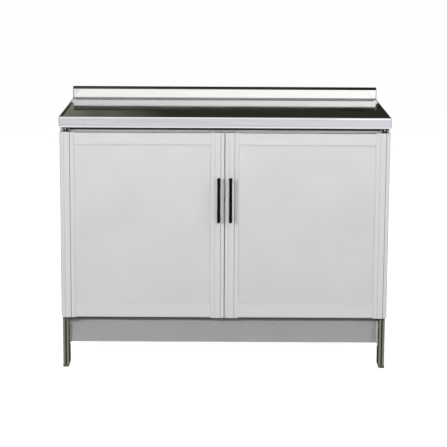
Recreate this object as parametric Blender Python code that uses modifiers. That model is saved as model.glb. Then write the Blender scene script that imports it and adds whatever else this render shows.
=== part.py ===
"""Floor cabinet with a folded stainless worktop and two framed doors.

Metres, +Z up. The front faces -Y and left is -X. The origin is on the floor, under the
middle of the whole cabinet. Driving dimensions come first and every other place follows them.
"""
import math

import bmesh
import bpy
from mathutils import Matrix, Vector

# Clearance between two pieces that touch
FIT = 0.0003
# Cutters reach this far past what they cut
OVERRUN = 0.004

# Worktop: one folded sheet over a board
TOP_WIDTH = 1.000
TOP_DEPTH = 0.500
TOP_HEIGHT = 0.790
SHEET = 0.0012
LIP_HEIGHT = 0.034
LIP_RETURN = 0.012
LIP_EDGE_RADIUS = 0.003
TOP_END_RADIUS = 0.002
RIM_WIDTH = 0.005
RIM_HEIGHT = 0.0025
RIM_FOLD_RADIUS = 0.0015
UPSTAND_HEIGHT = 0.040
UPSTAND_THICKNESS = 0.020
UPSTAND_TOP_RADIUS = 0.009
UPSTAND_FOLD_RADIUS = 0.0045
CORE_THICKNESS = 0.018

# Posts: hollow profiles that run from the feet to the worktop
POST_WIDTH = 0.018
POST_DEPTH = 0.050
POST_WALL = 0.0018
POST_EDGE_RADIUS = 0.001
GROOVE_WIDTH = 0.0045
GROOVE_DEPTH = 0.004
FOOT_HEIGHT = 0.009
FOOT_EDGE_RADIUS = 0.003
FOOT_PLUG_HEIGHT = 0.014

# Doors: an aluminium frame round a thin panel
BASE_HEIGHT = 0.166
DOOR_THICKNESS = 0.020
DOOR_SETBACK = 0.013
DOOR_END_SETBACK = 0.002
DOOR_GAP = 0.003
LIP_GAP = 0.015
STILE_WIDTH = 0.041
BAND_START = 0.011
BAND_WIDTH = 0.017
BAND_PROUD = 0.0015
BAND_RADIUS = 0.0007
FRAME_WALL = 0.0022
FRAME_EDGE_RADIUS = 0.0008
RAIL_SETBACK = 0.002
TOP_RAIL_WIDTH = 0.035
BOTTOM_RAIL_WIDTH = 0.042
PANEL_THICKNESS = 0.004
PANEL_RECESS = 0.002
PANEL_GRIP = 0.005
SLOT_DEPTH = 0.006

# Handles: a flat bar on two posts, one on each inner stile
HANDLE_LENGTH = 0.1375
HANDLE_BAR_WIDTH = 0.0095
HANDLE_BAR_DEPTH = 0.007
HANDLE_BAR_RADIUS = 0.0025
HANDLE_PROJECTION = 0.030
HANDLE_INSET = 0.0165
HANDLE_DROP = 0.1345
HANDLE_POST_RADIUS = 0.0035
HANDLE_POST_INSET = 0.012

# Pivots: a pin in a nylon plug at the top and bottom of each outer stile
PIVOT_INSET = 0.016
PIVOT_SETBACK = 0.009
HINGE_GAP = 0.0095
PIN_RADIUS = 0.0025
PIN_COLLAR_RADIUS = 0.0035
PIN_COLLAR_HEIGHT = 0.0015
PIN_ENTRY = 0.012
PLUG_LENGTH = 0.014
PLUG_HOLE_CLEARANCE = 0.0002
BRACKET_THICKNESS = 0.0027
BRACKET_WIDTH = 0.024
BRACKET_REACH = 0.008
TOP_FLANGE_HEIGHT = 0.013
BOTTOM_FLANGE_HEIGHT = 0.009
BLOCK_WIDTH = 0.014
BLOCK_NOSE = 0.002
BLOCK_TAIL = 0.009
BLOCK_LIFT = 0.001
BLOCK_EDGE_RADIUS = 0.0006

# Carcass boards and rails
SIDE_PANEL_THICKNESS = 0.016
BACK_PANEL_THICKNESS = 0.006
BACK_PANEL_INSET = 0.003
BOTTOM_PANEL_THICKNESS = 0.015
SHELF_THICKNESS = 0.016
SHELF_RISE = 0.267
SHELF_SETBACK = 0.025
SHELF_SIDE_GAP = 0.0008
SHELF_RAIL_LEG = 0.016
SHELF_RAIL_WALL = 0.0018
RAIL_DEPTH = 0.018
TOP_RAIL_HEIGHT = 0.032
FRONT_BOTTOM_RAIL_HEIGHT = 0.011
REAR_BOTTOM_RAIL_HEIGHT = 0.030
BOARD_EDGE_RADIUS = 0.0006

# Apron below the doors, and the brackets at its ends
APRON_BOTTOM = 0.0765
APRON_SETBACK = 0.020
APRON_THICKNESS = 0.012
APRON_BRACKET_WIDTH = 0.008
APRON_BRACKET_DROP = 0.014

# Magnetic catches under the front top rail
CATCH_WIDTH = 0.036
CATCH_HEIGHT = 0.015
CATCH_DEPTH = 0.026
CATCH_EDGE_RADIUS = 0.001
STRIKE_THICKNESS = 0.0012
STRIKE_HEIGHT = 0.012
STRIKE_WIDTH = 0.030

# Facets
ARC_STEPS = 4
ROUND_SIDES = 24

# Finishes: colour, metallic, roughness
POLISHED_STEEL = ("polished_steel", (0.62, 0.63, 0.63, 1.0), 1.0, 0.08)
ANODISED = ("satin_anodised_aluminium", (0.66, 0.67, 0.68, 1.0), 1.0, 0.35)
POST_METAL = ("polished_aluminium", (0.30, 0.30, 0.28, 1.0), 1.0, 0.18)
DOOR_SHEET = ("satin_grey_sheet", (0.66, 0.67, 0.69, 1.0), 0.0, 0.45)
APRON_GREY = ("grey_apron_lacquer", (0.34, 0.34, 0.34, 1.0), 0.0, 0.5)
BOARD_GREY = ("pale_grey_laminate", (0.60, 0.61, 0.62, 1.0), 0.0, 0.5)
PLYWOOD = ("plywood", (0.55, 0.40, 0.24, 1.0), 0.0, 0.7)
BLACK_STEEL = ("black_steel", (0.03, 0.03, 0.03, 1.0), 0.6, 0.4)
BLACK_NYLON = ("black_nylon", (0.02, 0.02, 0.02, 1.0), 0.0, 0.5)
FOOT_PLASTIC = ("grey_foot_plastic", (0.12, 0.12, 0.12, 1.0), 0.0, 0.5)
CHROME = ("chrome", (0.55, 0.55, 0.55, 1.0), 1.0, 0.06)

# Depths, from the front of the cabinet to its back
handle_reach = max(0.0, HANDLE_PROJECTION - DOOR_SETBACK)
lip_y = -(TOP_DEPTH - handle_reach) / 2
top_back_y = lip_y + TOP_DEPTH
upstand_y = top_back_y - UPSTAND_THICKNESS
door_y = lip_y + DOOR_SETBACK
door_flat_y = door_y + BAND_PROUD
door_back_y = door_y + DOOR_THICKNESS
pivot_y = door_y + PIVOT_SETBACK
post_y = door_back_y + HINGE_GAP
apron_y = post_y + APRON_SETBACK
carcass_back_y = top_back_y - SHEET - FIT
back_panel_y = carcass_back_y - BACK_PANEL_INSET - BACK_PANEL_THICKNESS

# Heights, from the floor up
field_z = TOP_HEIGHT - RIM_HEIGHT
lip_bottom_z = TOP_HEIGHT - LIP_HEIGHT
upstand_top_z = field_z + UPSTAND_HEIGHT
core_top_z = field_z - SHEET - FIT
core_bottom_z = core_top_z - CORE_THICKNESS
post_top_z = core_bottom_z - FIT
post_bottom_z = FOOT_HEIGHT + FIT
door_top_z = lip_bottom_z - LIP_GAP
door_bottom_z = BASE_HEIGHT
bottom_panel_z = door_bottom_z
shelf_z = bottom_panel_z + BOTTOM_PANEL_THICKNESS + SHELF_RISE
top_rail_z = post_top_z - TOP_RAIL_HEIGHT
panel_bottom_z = APRON_BOTTOM
under_bottom_z = bottom_panel_z - FIT

# Widths, from the middle out
top_half = TOP_WIDTH / 2
post_outer_x = top_half - SHEET - FIT
post_inner_x = post_outer_x - POST_WIDTH
between_posts_x = post_inner_x - FIT
door_outer_x = top_half - DOOR_END_SETBACK
door_inner_x = DOOR_GAP / 2
pivot_x = door_outer_x - PIVOT_INSET

SIDES = {"left": -1, "right": 1}


def clear_scene():
    """Empties the file, so the cabinet is alone in it."""
    for obj in list(bpy.data.objects):
        bpy.data.objects.remove(obj, do_unlink=True)


def make_collection(name):
    collection = bpy.data.collections.new(name)
    bpy.context.scene.collection.children.link(collection)
    return collection


def make_material(name, finish):
    """Each piece has its own Principled material, in the finish that it shares with others."""
    look, colour, metallic, roughness = finish
    material = bpy.data.materials.new(f"{name}_{look}")
    material.use_nodes = True
    shader = material.node_tree.nodes["Principled BSDF"]
    shader.inputs["Base Color"].default_value = colour
    shader.inputs["Metallic"].default_value = metallic
    shader.inputs["Roughness"].default_value = roughness
    material.diffuse_color = colour
    return material


def link_part(obj, finish, parent=None):
    """Puts a finished piece in the cabinet's collection, carried by a door's pivot if it moves."""
    obj.data.materials.append(make_material(obj.name, finish))
    parts.objects.link(obj)
    if parent is not None:
        obj.parent = parent
        obj.matrix_parent_inverse = Matrix.Translation(-parent.location)
    return obj


def link_cutter(obj):
    obj.display_type = "WIRE"
    obj.hide_render = True
    cutters.objects.link(obj)
    return obj


def cut(obj, cutter, operation="DIFFERENCE"):
    modifier = obj.modifiers.new(cutter.name, "BOOLEAN")
    modifier.operation = operation
    modifier.solver = "EXACT"
    modifier.object = cutter
    return obj


def round_edges(obj, radius, segments=2):
    modifier = obj.modifiers.new("edges", "BEVEL")
    modifier.width = radius
    modifier.segments = segments
    modifier.limit_method = "ANGLE"
    return obj


def box_object(name, low, high):
    """A box between two corners, with its origin at its centre."""
    low = Vector(low)
    high = Vector(high)
    bm = bmesh.new()
    bmesh.ops.create_cube(bm, size=1.0)
    bmesh.ops.scale(bm, vec=high - low, verts=bm.verts)
    mesh = bpy.data.meshes.new(name)
    bm.to_mesh(mesh)
    bm.free()
    obj = bpy.data.objects.new(name, mesh)
    obj.location = (low + high) / 2
    return obj


def add_box(name, low, high, finish, radius=BOARD_EDGE_RADIUS, parent=None):
    obj = box_object(name, low, high)
    round_edges(obj, radius)
    return link_part(obj, finish, parent)


def add_mirrored_box(name, side, low, high, finish, radius=BOARD_EDGE_RADIUS, parent=None):
    """A box given for the right-hand side, at that place on the side that is asked for."""
    if side < 0:
        low, high = (-high[0], low[1], low[2]), (-low[0], high[1], high[2])
    return add_box(name, low, high, finish, radius, parent)


def rounded(corners):
    """An outline from (x, y, radius) corners, with an arc at each corner that has a radius."""
    points = []
    count = len(corners)
    for i, (x, y, radius) in enumerate(corners):
        here = Vector((x, y))
        if radius == 0:
            points.append(here)
            continue
        before = (Vector(corners[i - 1][:2]) - here).normalized()
        after = (Vector(corners[(i + 1) % count][:2]) - here).normalized()
        half_angle = before.angle(after) / 2
        centre = here + (before + after).normalized() * (radius / math.sin(half_angle))
        start = here + before * (radius / math.tan(half_angle)) - centre
        end = here + after * (radius / math.tan(half_angle)) - centre
        turn = start.angle_signed(end)
        for step in range(ARC_STEPS + 1):
            angle = -turn * step / ARC_STEPS
            points.append(centre + Matrix.Rotation(angle, 2) @ start)
    return points


def rectangle(low_x, low_y, high_x, high_y, radius=0.0):
    return rounded([(low_x, low_y, radius), (high_x, low_y, radius),
                    (high_x, high_y, radius), (low_x, high_y, radius)])


def extrusion(name, outlines, start, end, axis):
    """A flat outline, with any hollows in it, drawn out along one axis from start to end.

    The outline is in (x, y) for axis Z, (y, z) for axis X and (x, z) for axis Y.
    """
    curve = bpy.data.curves.new(name, "CURVE")
    curve.dimensions = "2D"
    curve.fill_mode = "BOTH"
    curve.extrude = (end - start) / 2
    for outline in outlines:
        spline = curve.splines.new("POLY")
        spline.points.add(len(outline) - 1)
        for point, (u, v) in zip(spline.points, outline):
            point.co = (u, v, 0.0, 1.0)
        spline.use_cyclic_u = True
    obj = bpy.data.objects.new(name, curve)
    middle = (start + end) / 2
    quarter = math.pi / 2
    if axis == "X":
        obj.rotation_euler = (quarter, 0.0, quarter)
        obj.location = (middle, 0.0, 0.0)
    elif axis == "Y":
        obj.rotation_euler = (quarter, 0.0, 0.0)
        obj.location = (0.0, middle, 0.0)
    else:
        obj.location = (0.0, 0.0, middle)
    return obj


def as_mesh(curve_obj):
    """The same piece as a closed mesh, so that it can be cut or bevelled."""
    name = curve_obj.name
    cutters.objects.link(curve_obj)
    bpy.context.view_layer.update()
    graph = bpy.context.evaluated_depsgraph_get()
    mesh = bpy.data.meshes.new_from_object(curve_obj.evaluated_get(graph))
    place = curve_obj.matrix_world.copy()
    bpy.data.objects.remove(curve_obj, do_unlink=True)
    bm = bmesh.new()
    bm.from_mesh(mesh)
    bmesh.ops.remove_doubles(bm, verts=bm.verts, dist=FIT / 10)
    bmesh.ops.recalc_face_normals(bm, faces=bm.faces)
    bm.to_mesh(mesh)
    bm.free()
    mesh.name = name
    obj = bpy.data.objects.new(name, mesh)
    obj.matrix_world = place
    return obj


def turned(name, profile, location):
    """A round piece about the vertical: (radius, height) from its top down to its foot."""
    bm = bmesh.new()
    verts = [bm.verts.new((radius, 0.0, height)) for radius, height in profile]
    for above, below in zip(verts, verts[1:]):
        bm.edges.new((above, below))
    mesh = bpy.data.meshes.new(name)
    bm.to_mesh(mesh)
    bm.free()
    obj = bpy.data.objects.new(name, mesh)
    obj.location = location
    screw = obj.modifiers.new("turn", "SCREW")
    screw.axis = "Z"
    screw.angle = math.tau
    screw.steps = ROUND_SIDES
    screw.render_steps = ROUND_SIDES
    screw.use_merge_vertices = True
    screw.merge_threshold = FIT / 10
    screw.use_smooth_shade = True
    return obj


def is_end_loop(edge):
    """An edge between a flat end of an extrusion and its side, in the extrusion's own axes."""
    flat = [abs(face.normal.z) > abs(face.normal.x) + abs(face.normal.y)
            for face in edge.link_faces]
    return flat.count(True) == 1


def build_worktop():
    """The folded sheet: rim, front and side lips, and the hollow upstand along its back."""
    body = rounded([
        (lip_y, lip_bottom_z, LIP_EDGE_RADIUS),
        (top_back_y, lip_bottom_z, LIP_EDGE_RADIUS),
        (top_back_y, upstand_top_z, UPSTAND_TOP_RADIUS),
        (upstand_y, upstand_top_z, UPSTAND_TOP_RADIUS),
        (upstand_y, TOP_HEIGHT, 0.0),
        (lip_y, TOP_HEIGHT, LIP_EDGE_RADIUS),
    ])
    worktop = as_mesh(extrusion("worktop", [body], -top_half, top_half, "X"))
    bm = bmesh.new()
    bm.from_mesh(worktop.data)
    ends = [edge for edge in bm.edges if is_end_loop(edge)]
    bmesh.ops.bevel(bm, geom=ends, offset=TOP_END_RADIUS, offset_type="OFFSET", segments=2,
                    profile=0.5, affect="EDGES", material=-1, clamp_overlap=True)
    bm.to_mesh(worktop.data)
    bm.free()

    pocket_outline = rounded([
        (lip_y + RIM_WIDTH, field_z, RIM_FOLD_RADIUS),
        (upstand_y, field_z, UPSTAND_FOLD_RADIUS),
        (upstand_y, TOP_HEIGHT + OVERRUN, 0.0),
        (lip_y + RIM_WIDTH, TOP_HEIGHT + OVERRUN, 0.0),
    ])
    pocket_half = top_half - RIM_WIDTH
    pocket = as_mesh(extrusion("field_pocket", [pocket_outline], -pocket_half, pocket_half, "X"))

    inner_radius = LIP_EDGE_RADIUS - SHEET
    mouth_z = lip_bottom_z - OVERRUN
    hollow_outline = rounded([
        (lip_y + LIP_RETURN, mouth_z, 0.0),
        (top_back_y - SHEET, mouth_z, 0.0),
        (top_back_y - SHEET, upstand_top_z - SHEET, UPSTAND_TOP_RADIUS - SHEET),
        (upstand_y + SHEET, upstand_top_z - SHEET, UPSTAND_TOP_RADIUS - SHEET),
        (upstand_y + SHEET, field_z - SHEET, 0.0),
        (lip_y + SHEET, field_z - SHEET, 0.0),
        (lip_y + SHEET, lip_bottom_z + SHEET, inner_radius),
        (lip_y + LIP_RETURN, lip_bottom_z + SHEET, 0.0),
    ])
    hollow_half = top_half - SHEET
    hollow = as_mesh(extrusion("sheet_hollow", [hollow_outline], -hollow_half, hollow_half, "X"))

    cut(worktop, link_cutter(pocket))
    cut(worktop, link_cutter(hollow))
    link_part(worktop, POLISHED_STEEL)

    add_box("worktop_core",
            (-top_half + SHEET + FIT, lip_y + SHEET + FIT, core_bottom_z),
            (top_half - SHEET - FIT, top_back_y - SHEET - FIT, core_top_z),
            PLYWOOD)


def post_outline(side, front):
    """Section of a post in plan: a box profile with a groove down its outward face."""
    face_y, back_y = (post_y, post_y + POST_DEPTH) if front else (
        carcass_back_y, carcass_back_y - POST_DEPTH)
    inward = 1 if front else -1
    centre_x = side * (post_outer_x - POST_WIDTH / 2)
    left_x = centre_x - POST_WIDTH / 2
    right_x = centre_x + POST_WIDTH / 2
    groove_left = centre_x - GROOVE_WIDTH / 2
    groove_right = centre_x + GROOVE_WIDTH / 2
    floor_y = face_y + inward * GROOVE_DEPTH
    outer = rounded([
        (left_x, face_y, POST_EDGE_RADIUS),
        (groove_left, face_y, 0.0),
        (groove_left, floor_y, 0.0),
        (groove_right, floor_y, 0.0),
        (groove_right, face_y, 0.0),
        (right_x, face_y, POST_EDGE_RADIUS),
        (right_x, back_y, POST_EDGE_RADIUS),
        (left_x, back_y, POST_EDGE_RADIUS),
    ])
    bore_front = floor_y + inward * POST_WALL
    bore_back = back_y - inward * POST_WALL
    bore = (left_x + POST_WALL, min(bore_front, bore_back),
            right_x - POST_WALL, max(bore_front, bore_back))
    return outer, bore


def build_posts():
    for side_name, side in SIDES.items():
        for end_name, front in (("front", True), ("rear", False)):
            outer, bore = post_outline(side, front)
            post = extrusion(f"post_{end_name}_{side_name}", [outer, rectangle(*bore)],
                             post_bottom_z, post_top_z, "Z")
            link_part(post, POST_METAL)
            build_foot(f"foot_cap_{end_name}_{side_name}", side, front, bore)


def build_foot(name, side, front, bore):
    """A moulded cap under a post, with a plug that fills the post's bore."""
    near_y, far_y = (post_y, post_y + POST_DEPTH) if front else (
        carcass_back_y - POST_DEPTH, carcass_back_y)
    low_x = side * post_outer_x if side < 0 else post_inner_x
    foot = box_object(name, (low_x, near_y, 0.0), (low_x + POST_WIDTH, far_y, FOOT_HEIGHT))
    bm = bmesh.new()
    bm.from_mesh(foot.data)
    lower = [edge for edge in bm.edges
             if min(vert.co.z for vert in edge.verts) < 0]
    bmesh.ops.bevel(bm, geom=lower, offset=FOOT_EDGE_RADIUS, offset_type="OFFSET", segments=3,
                    profile=0.5, affect="EDGES", material=-1, clamp_overlap=True)
    bm.to_mesh(foot.data)
    bm.free()
    plug = box_object(f"{name}_plug",
                      (bore[0] + FIT, bore[1] + FIT, FOOT_HEIGHT / 2),
                      (bore[2] - FIT, bore[3] - FIT, FOOT_HEIGHT + FOOT_PLUG_HEIGHT))
    cut(foot, link_cutter(plug), "UNION")
    link_part(foot, FOOT_PLASTIC)


def build_carcass():
    """Boards and rails between the posts."""
    for side_name, side in SIDES.items():
        add_mirrored_box(f"side_panel_{side_name}", side,
                         (post_inner_x, post_y + POST_DEPTH + FIT, panel_bottom_z),
                         (post_inner_x + SIDE_PANEL_THICKNESS,
                          carcass_back_y - POST_DEPTH - FIT, post_top_z),
                         BOARD_GREY)
    add_box("back_panel",
            (-between_posts_x, back_panel_y, panel_bottom_z),
            (between_posts_x, back_panel_y + BACK_PANEL_THICKNESS, post_top_z),
            BOARD_GREY)
    add_box("bottom_panel",
            (-between_posts_x, post_y, bottom_panel_z),
            (between_posts_x, back_panel_y - FIT, bottom_panel_z + BOTTOM_PANEL_THICKNESS),
            BOARD_GREY)
    rear_rail_y = back_panel_y - FIT - RAIL_DEPTH
    rails = {
        "front_top_rail": (post_y, top_rail_z, TOP_RAIL_HEIGHT),
        "rear_top_rail": (rear_rail_y, top_rail_z, TOP_RAIL_HEIGHT),
        "front_bottom_rail": (post_y, under_bottom_z - FRONT_BOTTOM_RAIL_HEIGHT,
                              FRONT_BOTTOM_RAIL_HEIGHT),
        "rear_bottom_rail": (rear_rail_y, under_bottom_z - REAR_BOTTOM_RAIL_HEIGHT,
                             REAR_BOTTOM_RAIL_HEIGHT),
    }
    for name, (rail_y, rail_z, height) in rails.items():
        add_box(name, (-between_posts_x, rail_y, rail_z),
                (between_posts_x, rail_y + RAIL_DEPTH, rail_z + height), ANODISED)

    shelf_x = post_inner_x - SHELF_SIDE_GAP
    shelf_front_y = post_y + SHELF_SETBACK
    add_box("shelf", (-shelf_x, shelf_front_y, shelf_z),
            (shelf_x, back_panel_y - FIT, shelf_z + SHELF_THICKNESS), BOARD_GREY)
    rail_top = shelf_z - FIT
    for side_name, side in SIDES.items():
        wall_x = post_inner_x - FIT
        angle = [(side * wall_x, rail_top - SHELF_RAIL_LEG),
                 (side * wall_x, rail_top),
                 (side * (wall_x - SHELF_RAIL_LEG), rail_top),
                 (side * (wall_x - SHELF_RAIL_LEG), rail_top - SHELF_RAIL_WALL),
                 (side * (wall_x - SHELF_RAIL_WALL), rail_top - SHELF_RAIL_WALL),
                 (side * (wall_x - SHELF_RAIL_WALL), rail_top - SHELF_RAIL_LEG)]
        rail = extrusion(f"shelf_rail_{side_name}", [angle],
                         post_y + POST_DEPTH + FIT, carcass_back_y - POST_DEPTH - FIT, "Y")
        link_part(rail, ANODISED)


def build_apron():
    """The recessed front board below the doors, between two end brackets with a coved foot."""
    bracket_x = between_posts_x - APRON_BRACKET_WIDTH
    board_x = bracket_x - FIT
    add_box("front_apron", (-board_x, apron_y, APRON_BOTTOM),
            (board_x, apron_y + APRON_THICKNESS, under_bottom_z), APRON_GREY)
    for side_name, side in SIDES.items():
        cove = []
        for step in range(ARC_STEPS * 2 + 1):
            angle = math.pi / 2 * step / (ARC_STEPS * 2)
            cove.append((bracket_x + APRON_BRACKET_WIDTH * math.sin(angle),
                         APRON_BOTTOM - APRON_BRACKET_DROP * (1 - math.cos(angle))))
        outline = [(side * x, z) for x, z in
                   [*cove, (between_posts_x, under_bottom_z), (bracket_x, under_bottom_z)]]
        bracket = extrusion(f"apron_bracket_{side_name}", [outline],
                            apron_y, apron_y + APRON_THICKNESS, "Y")
        link_part(bracket, APRON_GREY)


def frame_section(width, band):
    """Section of a door member: (distance from its outer edge, depth behind the door's front)."""
    flat = BAND_PROUD
    slot_front = flat + PANEL_RECESS - FIT
    slot_back = flat + PANEL_RECESS + PANEL_THICKNESS + FIT
    slot_floor = width - SLOT_DEPTH
    outer = [(0.0, DOOR_THICKNESS, FRAME_EDGE_RADIUS), (0.0, flat, FRAME_EDGE_RADIUS)]
    if band:
        band_end = BAND_START + BAND_WIDTH
        outer += [(BAND_START, flat, 0.0), (BAND_START, 0.0, BAND_RADIUS),
                  (band_end, 0.0, BAND_RADIUS), (band_end, flat, 0.0)]
    outer += [(width, flat, FRAME_EDGE_RADIUS), (width, slot_front, 0.0),
              (slot_floor, slot_front, 0.0), (slot_floor, slot_back, 0.0),
              (width, slot_back, 0.0), (width, DOOR_THICKNESS, FRAME_EDGE_RADIUS)]
    chamber = (FRAME_WALL, flat + FRAME_WALL, slot_floor - FRAME_WALL,
               DOOR_THICKNESS - FRAME_WALL)
    return rounded(outer), chamber


def build_door(side_name, side):
    """Stiles, rails, panel and fittings, all carried by an empty on the pivot's axis."""
    pivot = bpy.data.objects.new(f"{side_name}_door_pivot", None)
    pivot.location = (side * pivot_x, pivot_y, door_bottom_z)
    parts.objects.link(pivot)

    stile_section, chamber = frame_section(STILE_WIDTH, band=True)
    hollow = rectangle(*chamber)
    edges = {"outer": (door_outer_x, -1), "inner": (door_inner_x, 1)}
    for stile_name, (edge_x, inward) in edges.items():
        loops = [[(side * (edge_x + inward * u), door_y + v) for u, v in loop]
                 for loop in (stile_section, hollow)]
        stile = extrusion(f"{side_name}_door_{stile_name}_stile", loops,
                          door_bottom_z, door_top_z, "Z")
        link_part(stile, ANODISED, pivot)

    rail_start = door_inner_x + STILE_WIDTH + FIT
    rail_end = door_outer_x - STILE_WIDTH - FIT
    low_x, high_x = sorted((side * rail_start, side * rail_end))
    rail_top_z = door_top_z - RAIL_SETBACK
    rail_foot_z = door_bottom_z + RAIL_SETBACK
    rails = {"top": (TOP_RAIL_WIDTH, rail_top_z, -1),
             "bottom": (BOTTOM_RAIL_WIDTH, rail_foot_z, 1)}
    for rail_name, (width, edge_z, inward) in rails.items():
        section, room = frame_section(width, band=False)
        loops = [[(door_y + v, edge_z + inward * u) for u, v in loop]
                 for loop in (section, rectangle(*room))]
        rail = extrusion(f"{side_name}_door_{rail_name}_rail", loops, low_x, high_x, "X")
        link_part(rail, ANODISED, pivot)

    panel_y = door_flat_y + PANEL_RECESS
    add_mirrored_box(f"{side_name}_door_panel", side,
                     (door_inner_x + STILE_WIDTH - PANEL_GRIP, panel_y,
                      rail_foot_z + BOTTOM_RAIL_WIDTH - PANEL_GRIP),
                     (door_outer_x - STILE_WIDTH + PANEL_GRIP, panel_y + PANEL_THICKNESS,
                      rail_top_z - TOP_RAIL_WIDTH + PANEL_GRIP),
                     DOOR_SHEET, parent=pivot)

    for end_name in ("top", "bottom"):
        build_plug(side_name, side, end_name, chamber, pivot)
    build_handle(side_name, side, pivot)

    strike_x = door_inner_x + (STILE_WIDTH - STRIKE_WIDTH) / 2
    strike_z = top_rail_z - FIT - (CATCH_HEIGHT + STRIKE_HEIGHT) / 2
    add_mirrored_box(f"{side_name}_strike_plate", side,
                     (strike_x, door_back_y + FIT, strike_z),
                     (strike_x + STRIKE_WIDTH, door_back_y + FIT + STRIKE_THICKNESS,
                      strike_z + STRIKE_HEIGHT),
                     CHROME, radius=STRIKE_THICKNESS / 4, parent=pivot)


def build_plug(side_name, side, end_name, chamber, pivot):
    """A nylon plug in the end of the outer stile, bored for the pivot pin."""
    low_u, low_v, high_u, high_v = chamber
    low_z, high_z = (door_top_z - PLUG_LENGTH, door_top_z) if end_name == "top" else (
        door_bottom_z, door_bottom_z + PLUG_LENGTH)
    ends_x = sorted((side * (door_outer_x - low_u - FIT), side * (door_outer_x - high_u + FIT)))
    plug = box_object(f"{side_name}_door_{end_name}_plug",
                      (ends_x[0], door_y + low_v + FIT, low_z),
                      (ends_x[1], door_y + high_v - FIT, high_z))
    hole_radius = PIN_RADIUS + PLUG_HOLE_CLEARANCE
    bm = bmesh.new()
    bmesh.ops.create_cone(bm, cap_ends=True, segments=ROUND_SIDES, radius1=hole_radius,
                          radius2=hole_radius, depth=PLUG_LENGTH + OVERRUN)
    mesh = bpy.data.meshes.new(f"{plug.name}_hole")
    bm.to_mesh(mesh)
    bm.free()
    hole = bpy.data.objects.new(mesh.name, mesh)
    hole.location = (side * pivot_x, pivot_y, (low_z + high_z) / 2)
    cut(plug, link_cutter(hole))
    link_part(plug, BLACK_NYLON, pivot)


def build_handle(side_name, side, pivot):
    """A bar handle that stands on the raised band of the inner stile."""
    bar_x = side * (door_inner_x + HANDLE_INSET)
    bar_front = door_y - HANDLE_PROJECTION
    bar_back = bar_front + HANDLE_BAR_DEPTH
    bar_top = door_top_z - HANDLE_DROP
    bar_foot = bar_top - HANDLE_LENGTH
    half = HANDLE_BAR_WIDTH / 2
    bar = as_mesh(extrusion(f"{side_name}_handle_bar",
                            [rectangle(bar_x - half, bar_front, bar_x + half, bar_back,
                                       HANDLE_BAR_RADIUS)],
                            bar_foot, bar_top, "Z"))
    link_part(bar, CHROME, pivot)
    ends = {"upper": bar_top - HANDLE_POST_INSET, "lower": bar_foot + HANDLE_POST_INSET}
    length = door_y - bar_back - FIT * 2
    for end_name, post_z in ends.items():
        bm = bmesh.new()
        bmesh.ops.create_cone(bm, cap_ends=True, segments=ROUND_SIDES,
                              radius1=HANDLE_POST_RADIUS, radius2=HANDLE_POST_RADIUS,
                              depth=length)
        mesh = bpy.data.meshes.new(f"{side_name}_handle_{end_name}_post")
        bm.to_mesh(mesh)
        bm.free()
        post = bpy.data.objects.new(mesh.name, mesh)
        post.rotation_euler = (math.pi / 2, 0.0, 0.0)
        post.location = (bar_x, (bar_back + door_y) / 2, post_z)
        link_part(post, CHROME, pivot)


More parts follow.
